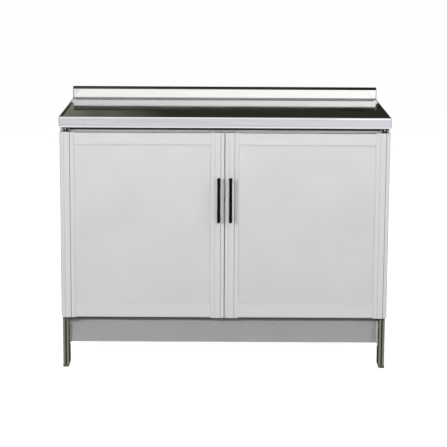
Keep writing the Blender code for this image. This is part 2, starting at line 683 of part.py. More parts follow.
def build_pivots(side_name, side):
    """Brackets on the post's face, with the pins that the door turns on."""
    low_x, high_x = side * pivot_x - BRACKET_WIDTH / 2, side * pivot_x + BRACKET_WIDTH / 2
    nose_y = pivot_y - BRACKET_REACH
    heel_y = post_y - FIT

    plate_top = lip_bottom_z - FIT
    plate_foot = plate_top - BRACKET_THICKNESS
    top_outline = [(nose_y, plate_foot), (heel_y, plate_foot),
                   (heel_y, plate_foot + TOP_FLANGE_HEIGHT),
                   (heel_y - BRACKET_THICKNESS, plate_foot + TOP_FLANGE_HEIGHT),
                   (heel_y - BRACKET_THICKNESS, plate_top), (nose_y, plate_top)]
    link_part(extrusion(f"pivot_bracket_top_{side_name}", [top_outline], low_x, high_x, "X"),
              BLACK_STEEL)

    block_top = plate_foot - FIT
    block_foot = door_top_z + BLOCK_LIFT
    slot_half = PIN_COLLAR_RADIUS + FIT
    block_half = BLOCK_WIDTH / 2
    centre = side * pivot_x
    front = pivot_y - BLOCK_NOSE
    back = pivot_y + BLOCK_TAIL
    slot_floor = pivot_y + PIN_COLLAR_RADIUS + FIT
    block_outline = rounded([
        (centre - block_half, front, BLOCK_EDGE_RADIUS), (centre - slot_half, front, 0.0),
        (centre - slot_half, slot_floor, 0.0), (centre + slot_half, slot_floor, 0.0),
        (centre + slot_half, front, 0.0), (centre + block_half, front, BLOCK_EDGE_RADIUS),
        (centre + block_half, back, BLOCK_EDGE_RADIUS),
        (centre - block_half, back, BLOCK_EDGE_RADIUS)])
    link_part(extrusion(f"pivot_block_{side_name}", [block_outline], block_foot, block_top, "Z"),
              BLACK_NYLON)

    pin = turned(f"pivot_pin_top_{side_name}",
                 [(0.0, block_top), (PIN_COLLAR_RADIUS, block_top),
                  (PIN_COLLAR_RADIUS, block_foot), (PIN_RADIUS, block_foot),
                  (PIN_RADIUS, door_top_z - PIN_ENTRY), (0.0, door_top_z - PIN_ENTRY)],
                 (centre, pivot_y, 0.0))
    link_part(pin, CHROME)

    collar_top = door_bottom_z - FIT
    collar_foot = collar_top - PIN_COLLAR_HEIGHT
    plate_top = collar_foot - FIT
    plate_foot = plate_top - BRACKET_THICKNESS
    flange_foot = plate_top - BOTTOM_FLANGE_HEIGHT
    bottom_outline = [(nose_y, plate_foot), (heel_y - BRACKET_THICKNESS, plate_foot),
                      (heel_y - BRACKET_THICKNESS, flange_foot), (heel_y, flange_foot),
                      (heel_y, plate_top), (nose_y, plate_top)]
    link_part(extrusion(f"pivot_bracket_bottom_{side_name}", [bottom_outline],
                        low_x, high_x, "X"), BLACK_STEEL)
    pin = turned(f"pivot_pin_bottom_{side_name}",
                 [(0.0, door_bottom_z + PIN_ENTRY), (PIN_RADIUS, door_bottom_z + PIN_ENTRY),
                  (PIN_RADIUS, collar_top), (PIN_COLLAR_RADIUS, collar_top),
                  (PIN_COLLAR_RADIUS, collar_foot), (0.0, collar_foot)],
                 (centre, pivot_y, 0.0))
    link_part(pin, CHROME)


def build_catch(side_name, side):
    """A magnetic catch under the front top rail, its face just clear of the strike plate."""
    middle_x = door_inner_x + STILE_WIDTH / 2
    face_y = door_back_y + STRIKE_THICKNESS + FIT * 2
    top_z = top_rail_z - FIT
    add_mirrored_box(f"magnetic_catch_{side_name}", side,
                     (middle_x - CATCH_WIDTH / 2, face_y, top_z - CATCH_HEIGHT),
                     (middle_x + CATCH_WIDTH / 2, face_y + CATCH_DEPTH, top_z),
                     BLACK_NYLON, radius=CATCH_EDGE_RADIUS)


clear_scene()
parts = make_collection("floor_cabinet")
cutters = make_collection("cutters")
build_worktop()
build_posts()
build_carcass()
build_apron()
for door_side, door_sign in SIDES.items():
    build_door(door_side, door_sign)
    build_pivots(door_side, door_sign)
    build_catch(door_side, door_sign)
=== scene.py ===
# %% [markdown]
# # Dressing a two-door floor cabinet
#
# The cabinet has a folded stainless worktop, two doors hung on pivots in satin aluminium frames,
# slim dark bar handles, a recessed grey apron and four slim metal legs. Its pieces and joints are
# already packed as a fixed frame. This lesson gives each piece its finish, and models the ones whose
# fine shape shows: the worktop, the handles, the feet, the trim, the magnets and the screws.
#
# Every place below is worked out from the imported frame, in metres, with +Z up and the front facing -Y.

# %% Load the frame
import math

import bmesh
import bpy
from mathutils import Matrix, Vector


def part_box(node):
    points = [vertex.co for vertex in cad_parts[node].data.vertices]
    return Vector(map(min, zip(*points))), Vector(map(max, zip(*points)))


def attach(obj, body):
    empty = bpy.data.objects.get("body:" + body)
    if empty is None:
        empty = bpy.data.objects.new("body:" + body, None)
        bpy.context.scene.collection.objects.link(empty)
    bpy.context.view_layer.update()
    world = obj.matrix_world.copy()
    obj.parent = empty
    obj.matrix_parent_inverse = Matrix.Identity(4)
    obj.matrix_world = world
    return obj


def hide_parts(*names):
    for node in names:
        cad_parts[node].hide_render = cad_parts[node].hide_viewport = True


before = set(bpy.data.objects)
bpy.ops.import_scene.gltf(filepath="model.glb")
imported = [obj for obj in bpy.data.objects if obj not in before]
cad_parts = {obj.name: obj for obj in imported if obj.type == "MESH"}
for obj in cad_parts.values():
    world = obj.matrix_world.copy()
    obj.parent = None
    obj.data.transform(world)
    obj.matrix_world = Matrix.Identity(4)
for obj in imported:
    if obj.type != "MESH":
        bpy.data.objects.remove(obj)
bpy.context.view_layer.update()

SIDES = {"left": -1, "right": 1}
CARCASS = "carcass"
DOORS = {"left": "left_door", "right": "right_door"}
MM = 0.001

# %% [markdown]
# ## The camera
#
# The cabinet is seen from straight ahead through a long lens, with the worktop a little below eye
# level. The place and the angles were fitted to the corners of the lip, the doors and the feet. Most
# of the framing comes from tilting the camera, so that other views keep the cabinet in the middle.

# %% Camera
CAMERA_PLACE = Vector((-0.0174, -4.9915, 1.4075))
PITCH_DOWN = math.radians(9.941)
YAW_RIGHT = math.radians(0.164)
ROLL = math.radians(0.315)
CAMERA_LENS = 128.49
CAMERA_SHIFT = -0.08
SENSOR_WIDTH = 36.0

scene = bpy.context.scene
camera_data = bpy.data.cameras.new("camera")
camera_data.sensor_width = SENSOR_WIDTH
camera_data.lens = CAMERA_LENS
camera_data.shift_y = CAMERA_SHIFT
camera = bpy.data.objects.new("camera", camera_data)
upright = Matrix.Rotation(math.pi / 2 - PITCH_DOWN, 4, "X")
camera.matrix_world = (Matrix.Translation(CAMERA_PLACE) @ Matrix.Rotation(-YAW_RIGHT, 4, "Z")
                       @ upright @ Matrix.Rotation(ROLL, 4, "Z"))
scene.collection.objects.link(camera)
scene.camera = camera
scene.view_settings.view_transform = "Standard"
print("camera", round(CAMERA_PLACE.length, 2), "m from the middle of the floor under the cabinet")

# %% [markdown]
# ## Small helpers
#
# A material is a small network of nodes. One helper adds a node with its settings and links, so a
# finish reads as a list of what feeds what. Colours are written as sRGB hex values, as a paint chart
# gives them, and one function turns them to the linear values that light is reckoned in.

# %% Nodes and colours
def linear(hex_colour):
    """An sRGB hex colour as linear RGBA, by the numbers of the sRGB standard."""
    channels = [int(hex_colour[i:i + 2], 16) / 255 for i in (1, 3, 5)]
    return [c / 12.92 if c <= 0.04045 else ((c + 0.055) / 1.055) ** 2.4 for c in channels] + [1.0]


def add(tree, kind, inputs=None, **settings):
    """Adds a shader node. Each input is a value, or the socket that it is fed from."""
    node = tree.nodes.new(kind)
    for key, value in settings.items():
        setattr(node, key, value)
    for key, value in (inputs or {}).items():
        if isinstance(value, bpy.types.NodeSocket):
            tree.links.new(value, node.inputs[key])
        else:
            node.inputs[key].default_value = value
    return node


def new_finish(name, **sockets):
    """A material with a Principled shader, whose constant values sit on its own sockets."""
    material = bpy.data.materials.new(name)
    material.use_nodes = True
    shader = material.node_tree.nodes["Principled BSDF"]
    for key, value in sockets.items():
        shader.inputs[key.replace("_", " ")].default_value = value
    return material, material.node_tree, shader


print("mid grey is", round(linear("#808080")[0], 3), "in linear light")

# %% [markdown]
# A pattern is noise stretched to a real size. Brushing and extrusion leave lines that are long one
# way and fine the other two, and a cast or sprayed surface has grains of one size. Lines finer than
# about half a millimetre never show at this distance, so the finest here are about that size. Most
# finishes follow one recipe: a pattern each for the tone, the gloss and the relief.

# %% Patterns at real sizes
# Places of the colour sockets on a Mix node, whose names repeat for each kind of value
MIX_FACTOR, MIX_A, MIX_B, MIX_COLOUR = 0, 6, 7, 2
# Nearly all of a noise pattern lies between these two values
NOISE_LOW, NOISE_HIGH = 0.3, 0.7


def grain(tree, size_mm, detail=2.0, seed=0.0):
    """Noise on Object coordinates, with grains of one size, or of one each along x, y and z."""
    sizes = size_mm if isinstance(size_mm, tuple) else (size_mm,) * 3
    place = add(tree, "ShaderNodeTexCoord")
    scaled = add(tree, "ShaderNodeMapping", {
        "Vector": place.outputs["Object"], "Location": (seed,) * 3,
        "Scale": tuple(1.0 / (size * MM) for size in sizes)})
    noise = add(tree, "ShaderNodeTexNoise", {
        "Vector": scaled.outputs["Vector"], "Scale": 1.0, "Detail": detail, "Roughness": 0.5})
    return noise.outputs[0]


def spread(tree, source, low, high):
    """The middle of a noise pattern, stretched to run from low to high."""
    stretched = add(tree, "ShaderNodeMapRange", {
        "Value": source, "From Min": NOISE_LOW, "From Max": NOISE_HIGH,
        "To Min": low, "To Max": high})
    return stretched.outputs["Result"]


def tint(tree, source, dark, light):
    """A colour between two, led by a pattern."""
    mixed = add(tree, "ShaderNodeMix", {
        MIX_FACTOR: spread(tree, source, 0.0, 1.0), MIX_A: linear(dark), MIX_B: linear(light)},
        data_type="RGBA")
    return mixed.outputs[MIX_COLOUR]


def relieve(tree, shader, height, strength, depth_mm):
    """A bump of a real depth."""
    bump = add(tree, "ShaderNodeBump", {
        "Strength": strength, "Distance": depth_mm * MM, "Height": height})
    tree.links.new(bump.outputs["Normal"], shader.inputs["Normal"])


def patterned(name, colours, rough, tone, gloss, relief=None, bump=(0.0, 0.0), **sockets):
    """A finish whose tone, gloss and relief each follow noise of (size in mm, detail, seed).

    bump holds the strength of the relief and its depth in mm.
    """
    material, tree, shader = new_finish(name, **sockets)
    tree.links.new(tint(tree, grain(tree, *tone), *colours), shader.inputs["Base Color"])
    tree.links.new(spread(tree, grain(tree, *gloss), *rough), shader.inputs["Roughness"])
    if relief:
        relieve(tree, shader, grain(tree, *relief), *bump)
    return material


print("noise lies mostly between", NOISE_LOW, "and", NOISE_HIGH)

# %% [markdown]
# ## The studio
#
# The cabinet stands on a wide white floor in plain light. The handles' shadows in the photograph
# place two box lights ahead: the stronger shadow falls to the right and a little down, the weaker
# just to the left. The doors fade downwards, which is the light above the front. A broad light far
# on the right, one overhead and two behind fill in the rest.
#
# A background goes white without more light on the cabinet when only the camera and mirrors see it
# glow, which Light Path tells apart. The floor still takes part of its brightness from the lamps, so
# it keeps the cabinet's shadow.

# %% Floor
FLOOR_SIZE = 120.0
FLOOR_GLOW = 0.97


def ray_is_for_the_eye(tree):
    """1 for rays from the camera, and for those that a mirror or glass sends on."""
    path = add(tree, "ShaderNodeLightPath")
    seen = add(tree, "ShaderNodeMath", {
        0: path.outputs["Is Camera Ray"], 1: path.outputs["Is Glossy Ray"]}, operation="MAXIMUM")
    either = add(tree, "ShaderNodeMath", {
        0: seen.outputs[0], 1: path.outputs["Is Transmission Ray"]}, operation="MAXIMUM")
    return either.outputs[0]


def new_object(name, bm, materials=()):
    """An object at the origin that takes over a bmesh."""
    mesh = bpy.data.meshes.new(name)
    bm.to_mesh(mesh)
    bm.free()
    for material in materials:
        mesh.materials.append(material)
    obj = bpy.data.objects.new(name, mesh)
    scene.collection.objects.link(obj)
    return obj


floor_paint, tree, shader = new_finish("matt_white_floor", Base_Color=linear("#848484"),
                                       Roughness=0.9, Specular_IOR_Level=0.0,
                                       Emission_Color=linear("#FFFFFF"))
glow = add(tree, "ShaderNodeMath", {0: ray_is_for_the_eye(tree), 1: FLOOR_GLOW}, operation="MULTIPLY")
tree.links.new(glow.outputs[0], shader.inputs["Emission Strength"])
bm = bmesh.new()
bmesh.ops.create_grid(bm, x_segments=1, y_segments=1, size=FLOOR_SIZE / 2)
new_object("floor", bm, [floor_paint])
print("floor", FLOOR_SIZE, "m square")

# %% World
AMBIENT = 0.07
world = bpy.data.worlds.new("studio")
scene.world = world
world.use_nodes = True
tree = world.node_tree
brightness = add(tree, "ShaderNodeMapRange", {
    "Value": ray_is_for_the_eye(tree), "To Min": AMBIENT, "To Max": 1.0})
tree.links.new(brightness.outputs["Result"], tree.nodes["Background"].inputs["Strength"])
tree.nodes["Background"].inputs["Color"].default_value = linear("#FFFFFF")
print("ambient light", AMBIENT)

# %% Lamps
# Name: place, width, height, power in watts
LAMPS = {
    "key_box": ((-1.75, -3.3, 1.62), 0.2, 0.2, 69.0),
    "fill_box": ((0.68, -2.95, 1.35), 0.22, 0.3, 14.0),
    "side_box": ((2.7, -2.3, 1.2), 1.2, 1.2, 23.0),
    "front_top_box": ((0.4, -1.2, 2.05), 1.6, 0.5, 10.5),
    "top_box": ((0.0, 0.3, 3.2), 2.4, 1.6, 22.0),
    "rear_box_left": ((-2.4, 2.8, 1.6), 1.2, 1.2, 40.0),
    "rear_box_right": ((2.4, 2.8, 1.6), 1.2, 1.2, 40.0),
}
LAMP_AIM = Vector((0.0, 0.0, 0.45))
for name, (place, width, height, power) in LAMPS.items():
    lamp_data = bpy.data.lights.new(name, "AREA")
    lamp_data.shape = "RECTANGLE"
    lamp_data.size = width
    lamp_data.size_y = height
    lamp_data.energy = power
    lamp = bpy.data.objects.new(name, lamp_data)
    lamp.location = place
    lamp.rotation_euler = (LAMP_AIM - lamp.location).to_track_quat("-Z", "Y").to_euler()
    lamp.visible_camera = False
    lamp.visible_glossy = False
    scene.collection.objects.link(lamp)
print(len(LAMPS), "lamps")

# %% [markdown]
# Polished steel shows nothing but its surroundings. In the photograph the worktop and the rounded
# top of the upstand are almost black, because they mirror a dark part of the room. So one dark sheet
# hangs behind and over the cabinet, paler to the left, and a small one just over the worktop, ahead
# of the upstand. A bright card in front lights up the upstand's face, and reaches the floor on the
# right, where the photograph's steel is brightest. A strip of scrim under the small flag, which
# shows from behind alone, dims that face's reflection in the worktop. A grey card at each side draws
# a thin line down the rounded ends of the lip and the upstand. Only reflections see them.

# %% Light from the cards
CLOTH_DARK, CLOTH_PALE = "#2C2E25", "#7C7F70"
FOLD_MM = (420, 420, 130)
PATCH_X = -1.4
PATCH_REACH = 1.05
PATCH_TOP_Z = 3.0
NEAR_REACH = 0.5


def glowing(name, colour, strength, right_strength=None, reach=1.0):
    """A card finish that sends out even light, or light that changes from -reach to reach in X."""
    material = bpy.data.materials.new(name)
    material.use_nodes = True
    tree = material.node_tree
    light = add(tree, "ShaderNodeEmission", {"Color": linear(colour), "Strength": strength})
    tree.links.new(light.outputs[0], tree.nodes["Material Output"].inputs["Surface"])
    if right_strength:
        place = add(tree, "ShaderNodeTexCoord")
        across = add(tree, "ShaderNodeSeparateXYZ", {"Vector": place.outputs["Object"]})
        growing = add(tree, "ShaderNodeMapRange", {
            "Value": across.outputs["X"], "From Min": -reach, "From Max": reach,
            "To Min": strength, "To Max": right_strength})
        tree.links.new(growing.outputs["Result"], light.inputs["Strength"])
    return material


# Name, colour, light at the left and at the right, and the reach of that change
near_cloth = glowing("near_cloth", "#F2F4E6", 0.095, 0.02, NEAR_REACH)
pale_scrim = glowing("pale_scrim", "#FFFFFF", 0.88, 1.16, NEAR_REACH)
pale_card = glowing("pale_card", "#FFFFFF", 1.31, 1.48)
grey_card = glowing("grey_card", "#A6A6A4", 1.0)
dark_cloth = glowing("dark_cloth", CLOTH_DARK, 1.0)

tree = pale_scrim.node_tree
clear = add(tree, "ShaderNodeBsdfTransparent")
side_seen = add(tree, "ShaderNodeNewGeometry")
one_way = add(tree, "ShaderNodeMixShader", {
    0: side_seen.outputs["Backfacing"], 1: clear.outputs[0],
    2: tree.nodes["Emission"].outputs[0]})
tree.links.new(one_way.outputs[0], tree.nodes["Material Output"].inputs["Surface"])

tree = dark_cloth.node_tree
place = add(tree, "ShaderNodeTexCoord")
across = add(tree, "ShaderNodeSeparateXYZ", {"Vector": place.outputs["Object"]})
off_middle = add(tree, "ShaderNodeMath", {0: across.outputs["X"], 1: PATCH_X}, operation="SUBTRACT")
distance = add(tree, "ShaderNodeMath", {0: off_middle.outputs[0]}, operation="ABSOLUTE")
near_patch = add(tree, "ShaderNodeMapRange", {
    "Value": distance.outputs[0], "From Min": PATCH_REACH, "From Max": PATCH_REACH / 2})
low_down = add(tree, "ShaderNodeMapRange", {
    "Value": across.outputs["Z"], "From Min": PATCH_TOP_Z, "From Max": PATCH_TOP_Z / 2})
patch = add(tree, "ShaderNodeMath", {0: near_patch.outputs["Result"], 1: low_down.outputs["Result"]},
            operation="MULTIPLY")
folds = spread(tree, grain(tree, FOLD_MM), 0.2, 1.0)
paler = add(tree, "ShaderNodeMath", {0: patch.outputs[0], 1: folds}, operation="MULTIPLY")
cloth_colour = add(tree, "ShaderNodeMix", {
    MIX_FACTOR: paler.outputs[0], MIX_A: linear(CLOTH_DARK), MIX_B: linear(CLOTH_PALE)},
    data_type="RGBA")
tree.links.new(cloth_colour.outputs[MIX_COLOUR], tree.nodes["Emission"].inputs["Color"])
print("five card finishes")

# %% Cards in their places
# Name: finish, the places of a line in metres, and the vector that it is swept along
CARDS = {
    "dark_flag": (dark_cloth, [(-11, 5, 0), (-11, 5, 4.2), (-11, -0.8, 4.2)], (22, 0, 0)),
    "near_flag": (near_cloth, [(-0.8, 0.05, 0.835), (-0.8, 0.05, 1.5)], (1.6, 0, 0)),
    "near_scrim": (pale_scrim, [(-0.8, 0.05, 0.8125), (-0.8, 0.05, 0.835)], (1.6, 0, 0)),
    "pale_card": (pale_card, [(-8, -6.5, 1.2), (-8, -6.5, 2.2)], (16, 0, 0)),
    "right_card": (pale_card, [(0.8, -6.5, 0), (0.8, -6.5, 1.2)], (3.6, 0, 0)),
    "side_card_left": (grey_card, [(-3, -4, 0), (-3, -4, 1.5)], (0, 8, 0)),
    "side_card_right": (grey_card, [(3, -4, 0), (3, -4, 1.5)], (0, 8, 0)),
}


def verts_among(parts):
    """The vertices among the parts that an operator made."""
    return [part for part in parts if isinstance(part, bmesh.types.BMVert)]


for name, (material, places, sweep) in CARDS.items():
    bm = bmesh.new()
    line = [bm.verts.new(place) for place in places]
    edges = [bm.edges.new(pair) for pair in zip(line, line[1:])]
    swept = bmesh.ops.extrude_edge_only(bm, edges=edges)["geom"]
    bmesh.ops.translate(bm, vec=sweep, verts=verts_among(swept))
    card = new_object(name, bm, [material])
    for ray in ("camera", "diffuse", "shadow", "transmission", "volume_scatter"):
        setattr(card, f"visible_{ray}", False)
print(len(CARDS), "flags and cards in place")

# %% [markdown]
# ## Finishes
#
# ### Stainless steel
#
# The worktop is cold-rolled stainless sheet, buffed to a mirror along its length, which leaves faint
# long lines and soft patches in the roughness. The sheet is never quite flat, so a slow, slight bump
# bends what it mirrors. The flats of the lip were brushed after folding, which leaves them duller and
# lilac-grey between the polished folds. The inside fold under the upstand is a duller, darker steel,
# rough enough to scatter much of the light as paint does, which is a painted reflection of that fold.
# Noise stretched along X draws all three, where a picture of steel would blur close by and repeat.

# %% Stainless steel
BUFFED_LENGTH_MM = 160
PATCHES = ((90, 60, 60), 2.0, 4.0)
WAVES = ((220, 140, 60), 1.0, 9.0)


def stainless(name, colours, rough, line_mm, metallic=1.0):
    """Steel sheet whose buffing or brushing runs along X."""
    return patterned(name, colours, rough, ((BUFFED_LENGTH_MM, line_mm, line_mm), 3.0), PATCHES,
                     WAVES, (0.12, 0.4), Metallic=metallic)


# Name, two colours, least and most roughness, and the pitch of the lines in mm
polished_steel = stainless("mirror_polished_stainless_steel", ("#DCDDDB", "#E4E4E2"), (0.03, 0.06), 1.6)
brushed_steel = stainless("brushed_stainless_steel", ("#BFBFC5", "#CFCFD5"), (0.22, 0.28), 1.2)
# The duller, darker steel in the fold under the upstand is a painted reflection of that fold
painted_fold_reflection = stainless("stainless_painted_fold_reflection", ("#A6A7A9", "#B4B5B7"), (0.50, 0.58), 1.2, 0.5)
print("three steel finishes")

# %% [markdown]
# ### Satin anodised aluminium
#
# The door frames are extruded aluminium, etched and anodised. The etched oxide scatters most of the
# light, so the finish is only partly metallic and takes shadows as paint does. An extrusion die
# leaves fine straight lines along the bar, so the same finish is made three times, with its lines
# along X, Y or Z. The legs are a darker olive grey that mirrors more, a colour that is a painted
# reflection of a dark floor.

# %% Anodised aluminium
LINE_LENGTH_MM = 400
LINE_PITCH_MM = 1.1
CLOUDS = (35, 2.0, 2.0)


def extruded_metal(name, axis, colours, rough, metallic=1.0):
    """A metal bar's finish with die lines along one axis."""
    sizes = tuple(LINE_LENGTH_MM if along == axis else LINE_PITCH_MM for along in "xyz")
    return patterned(name, colours, rough, (sizes, 3.0), CLOUDS, (sizes, 3.0), (0.15, 0.05),
                     Metallic=metallic)


anodised = {axis: extruded_metal(f"satin_anodised_aluminium_{axis}", axis, ("#D1D2D3", "#D7D8D9"),
                                 (0.40, 0.48), metallic=0.15) for axis in "xyz"}
# The legs' olive grey is a painted reflection of a dark floor
leg_metal_painted_reflection = extruded_metal("olive_grey_aluminium_painted_reflection", "z", ("#6C6B60", "#7E7D70"),
                            (0.26, 0.34))
print(len(anodised) + 1, "extruded finishes")

# %% [markdown]
# ### Sprayed and laminated sheet
#
# The door panels are thin sheet, sprayed a satin light grey. Spraying leaves a fine orange peel, about
# a millimetre across, and the film's tone drifts a little over a hand's width. A bump draws the peel,
# which as real shape would take millions of faces. The apron has the same film in a mid grey. The
# boards inside are laminate, whose print has small pearly flecks.

# %% Sprayed finishes
FILM_SWING = 0.03


def sprayed(name, dark, light, roughness, peel_mm, drift_mm):
    """A paint film with orange peel and a slow drift in tone."""
    drift = (drift_mm, 3.0, 1.0)
    return patterned(name, (dark, light), (roughness - FILM_SWING, roughness + FILM_SWING), drift,
                     drift, (peel_mm, 2.0, 6.0), (0.25, 0.02))


# Name, two colours, roughness, and the sizes of the peel and of the drift in mm
door_paint = sprayed("satin_light_grey_paint", "#D0D1D3", "#D6D7D8", 0.42, 1.3, 130)
apron_paint = sprayed("satin_mid_grey_lacquer", "#A9A9A8", "#AFAFAE", 0.5, 1.2, 110)
laminate = sprayed("pale_grey_laminate", "#C6C7C9", "#D0D1D2", 0.5, 2.2, 6)
print("door, apron and board films made")

# %% [markdown]
# ### Plywood
#
# The board under the steel is birch plywood. Its faces show long grain and its edges show the plies,
# about 1.4 mm each, light and dark in turn. The plies could be cut as layers, but one board with
# bands along Z on its upright faces looks the same.

# %% Plywood
PLY_MM = 1.4
WOOD_GRAIN_MM = (90, 3.5, 400)
# A wave of scale 1 has 20 radians to the metre
WAVE_RADIANS = 20
plywood, tree, shader = new_finish("birch_plywood", Roughness=0.7)
wood_grain = grain(tree, WOOD_GRAIN_MM, detail=4.0)
faces = tint(tree, wood_grain, "#B98F5E", "#D2AE7C")
place = add(tree, "ShaderNodeTexCoord")
plies = add(tree, "ShaderNodeTexWave", {
    "Vector": place.outputs["Object"], "Scale": math.tau / (WAVE_RADIANS * 2 * PLY_MM * MM),
    "Distortion": 0.4, "Detail": 2.0}, wave_type="BANDS", bands_direction="Z")
edge_colour = add(tree, "ShaderNodeMix", {
    MIX_FACTOR: plies.outputs["Fac"], MIX_A: linear("#8A6238"), MIX_B: linear("#CBA26C")},
    data_type="RGBA")
normal_parts = add(tree, "ShaderNodeSeparateXYZ", {"Vector": place.outputs["Normal"]})
flatness = add(tree, "ShaderNodeMath", {0: normal_parts.outputs["Z"]}, operation="ABSOLUTE")
colour = add(tree, "ShaderNodeMix", {
    MIX_FACTOR: flatness.outputs[0], MIX_A: edge_colour.outputs[MIX_COLOUR], MIX_B: faces},
    data_type="RGBA")
tree.links.new(colour.outputs[MIX_COLOUR], shader.inputs["Base Color"])
relieve(tree, shader, wood_grain, strength=0.3, depth_mm=0.1)
print("plies of", PLY_MM, "mm")

# %% [markdown]
# ### Small parts
#
# Moulded nylon has the faint sparkle of a spark-eroded mould, about half a millimetre. The brackets
# are powder-coated black, which leaves a fine, hard orange peel. The rail over the apron has the
# same coat in dark grey, which is painted shade where the doors' feet shade it, and the rail under
# the worktop has it in light grey. The handles' chrome is near black, a painted reflection of a dark
# room, and the upper pins and the strike plates are bright chrome. Screws are zinc plated, a slightly
# yellow, uneven tone, and the bolts in the legs are black. Each could have its own network, but two
# functions serve them all, because they differ in colour, gloss and grain alone.

# %% Moulded and coated finishes
SPARK_SWING = 0.05


def moulded(name, dark, light, roughness, spark_mm, sheen_level=0.5):
    """A plastic or a powder coat with fine sparks or peel of one size."""
    sparks = (spark_mm,)
    return patterned(name, (dark, light), (roughness - SPARK_SWING, roughness + SPARK_SWING), sparks,
                     sparks, sparks, (0.3, 0.04), IOR=1.5, Specular_IOR_Level=sheen_level)


# Name, two colours, roughness, and the size of the sparks in mm
black_nylon = moulded("moulded_black_nylon", "#1B1B1C", "#262627", 0.5, 0.6)
foot_plastic = moulded("moulded_dark_grey_polypropylene", "#4C4C4B", "#5A5A58", 0.45, 0.7)
black_coat = moulded("black_powder_coat", "#1C1C1D", "#2A2A2B", 0.45, 0.9)
# The dark grey of the rail over the apron is painted shade, where the doors' feet shade it
painted_shade_rail_coat = moulded("dark_grey_coat_painted_shade", "#4C4C4B", "#5A5A58", 0.45, 0.9)
rail_coat = moulded("light_grey_powder_coat", "#B5B7BC", "#BEC0C5", 0.5, 0.7)
grey_rubber = moulded("grey_seal_rubber", "#B8B9BB", "#C3C4C6", 0.55, 0.8)
clear_bumper = moulded("frosted_polyurethane", "#D9DAD8", "#E4E5E3", 0.3, 1.5)
# Painted shade: the dark line beside each stile's raised band
painted_band_shade = moulded("dark_grey_painted_band_shade", "#2C2D2E", "#363738", 0.7, 0.6, sheen_level=0.2)
# Painted shade: the faint grey lines along the doors' outer edges and the bands' left edges
painted_faint_shade_grey = moulded("mid_grey_painted_faint_shade", "#8E8F91", "#98999B", 0.55, 0.7)
trim_plastic = moulded("pale_grey_soft_pvc", "#CBCCCD", "#D3D4D5", 0.5, 0.7)
apron_end_plastic = moulded("pale_grey_moulded_apron_end", "#D0D1CD", "#D8D9D5", 0.5, 0.7)
edge_plastic = moulded("pale_grey_edge_band", "#D2D3D4", "#DADBDC", 0.4, 0.9)
# Painted shade: the black strip on each leg's inner face
painted_leg_shade_black = moulded("matt_black_painted_leg_shade", "#080808", "#0E0E0E", 0.8, 0.8, sheen_level=0.05)
# Painted shade: the dark olive strip in each leg's groove
painted_groove_shade = moulded("matt_olive_painted_groove_shade", "#2B2C23", "#35362C", 0.7, 0.8, sheen_level=0.2)
magnet_dark = moulded("sintered_ferrite", "#2E2C2B", "#3A3837", 0.7, 0.7)
print("moulded and coated finishes made")

# %% Plated finishes
def plated(name, dark, light, rough_low, rough_high, cloud_mm):
    """A plated metal whose tone and gloss vary a little."""
    cloud = (cloud_mm, 3.0)
    return patterned(name, (dark, light), (rough_low, rough_high), cloud, cloud, Metallic=1.0)


# Name, two colours, least and most roughness, and the size of the clouds in mm
# The handles' near-black plate is a painted reflection of a dark room in bright chrome
chrome_painted_dark_reflection = plated("chrome_plate_painted_dark_reflection", "#100F0E", "#181615", 0.08, 0.14, 14)
chrome = plated("bright_chrome_plate", "#D8D9DA", "#E2E3E3", 0.05, 0.10, 10)
zinc = plated("zinc_plate", "#BDBBB2", "#CFCEC6", 0.25, 0.38, 3)
pin_steel = plated("ground_steel", "#C4C5C6", "#D2D2D3", 0.15, 0.25, 2)
magnet_steel = plated("nickel_plated_steel", "#A9A69E", "#BDBAB2", 0.2, 0.3, 3)
post_bolt_black = plated("black_zinc_plate", "#3A3A3B", "#4A4A4B", 0.3, 0.4, 3)
print("plated finishes made")

# %% [markdown]
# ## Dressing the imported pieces
#
# Most boards, rails and frame members already have their true shape, so they only take a finish: the
# first one below whose words are in the piece's name. A stile's lines run up it, a rail's across.

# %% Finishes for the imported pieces
DRESSING = [
    ("door_panel", door_paint), ("stile", anodised["z"]), ("door_top_rail", anodised["x"]),
    ("door_bottom_rail", anodised["x"]), ("shelf_rail", anodised["y"]),
    ("front_bottom_rail", painted_shade_rail_coat), ("front_top_rail", rail_coat), ("rail", anodised["x"]),
    ("post_", leg_metal_painted_reflection), ("foot_cap", foot_plastic), ("apron_bracket", apron_end_plastic),
    ("apron", apron_paint), ("worktop_core", plywood),
    ("worktop", polished_steel), ("handle", chrome_painted_dark_reflection), ("strike", chrome),
    ("plug", black_nylon), ("block", black_nylon), ("catch", black_nylon),
    ("bracket", black_coat), ("pin", pin_steel), ("panel", laminate), ("shelf", laminate),
]
for name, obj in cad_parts.items():
    finish = next(finish for words, finish in DRESSING if words in name)
    obj.data.materials.clear()
    obj.data.materials.append(finish)
print(len(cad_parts), "pieces dressed")

# %% [markdown]
# ## Modelled pieces
#
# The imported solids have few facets, which a mirror finish would show. Pieces that shine, or whose
# small shape catches the eye, are modelled again with finer rounding, in the place of their solids.
# Four helpers do the repeated work: a box with rounded edges, a flat outline with rounded corners
# that is drawn out into a bar, a turned shape, and a cut.
#
# Every finished piece is shaded smooth with its true edges kept sharp, and weighted normals keep
# the flats flat beside their roundings.

# %% A finished piece
SHARP_ANGLE = math.radians(35)
MERGE = 0.001 * MM


def piece(name, bm, body, finishes, replaces=()):
    """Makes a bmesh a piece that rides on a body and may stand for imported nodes."""
    obj = new_object(name, bm, finishes)
    obj.data.shade_smooth()
    obj.data.set_sharp_from_angle(angle=SHARP_ANGLE)
    even = obj.modifiers.new("even shading", "WEIGHTED_NORMAL")
    even.keep_sharp = True
    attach(obj, body)
    if replaces:
        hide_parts(*replaces)
    print(name, len(obj.data.polygons), "faces")


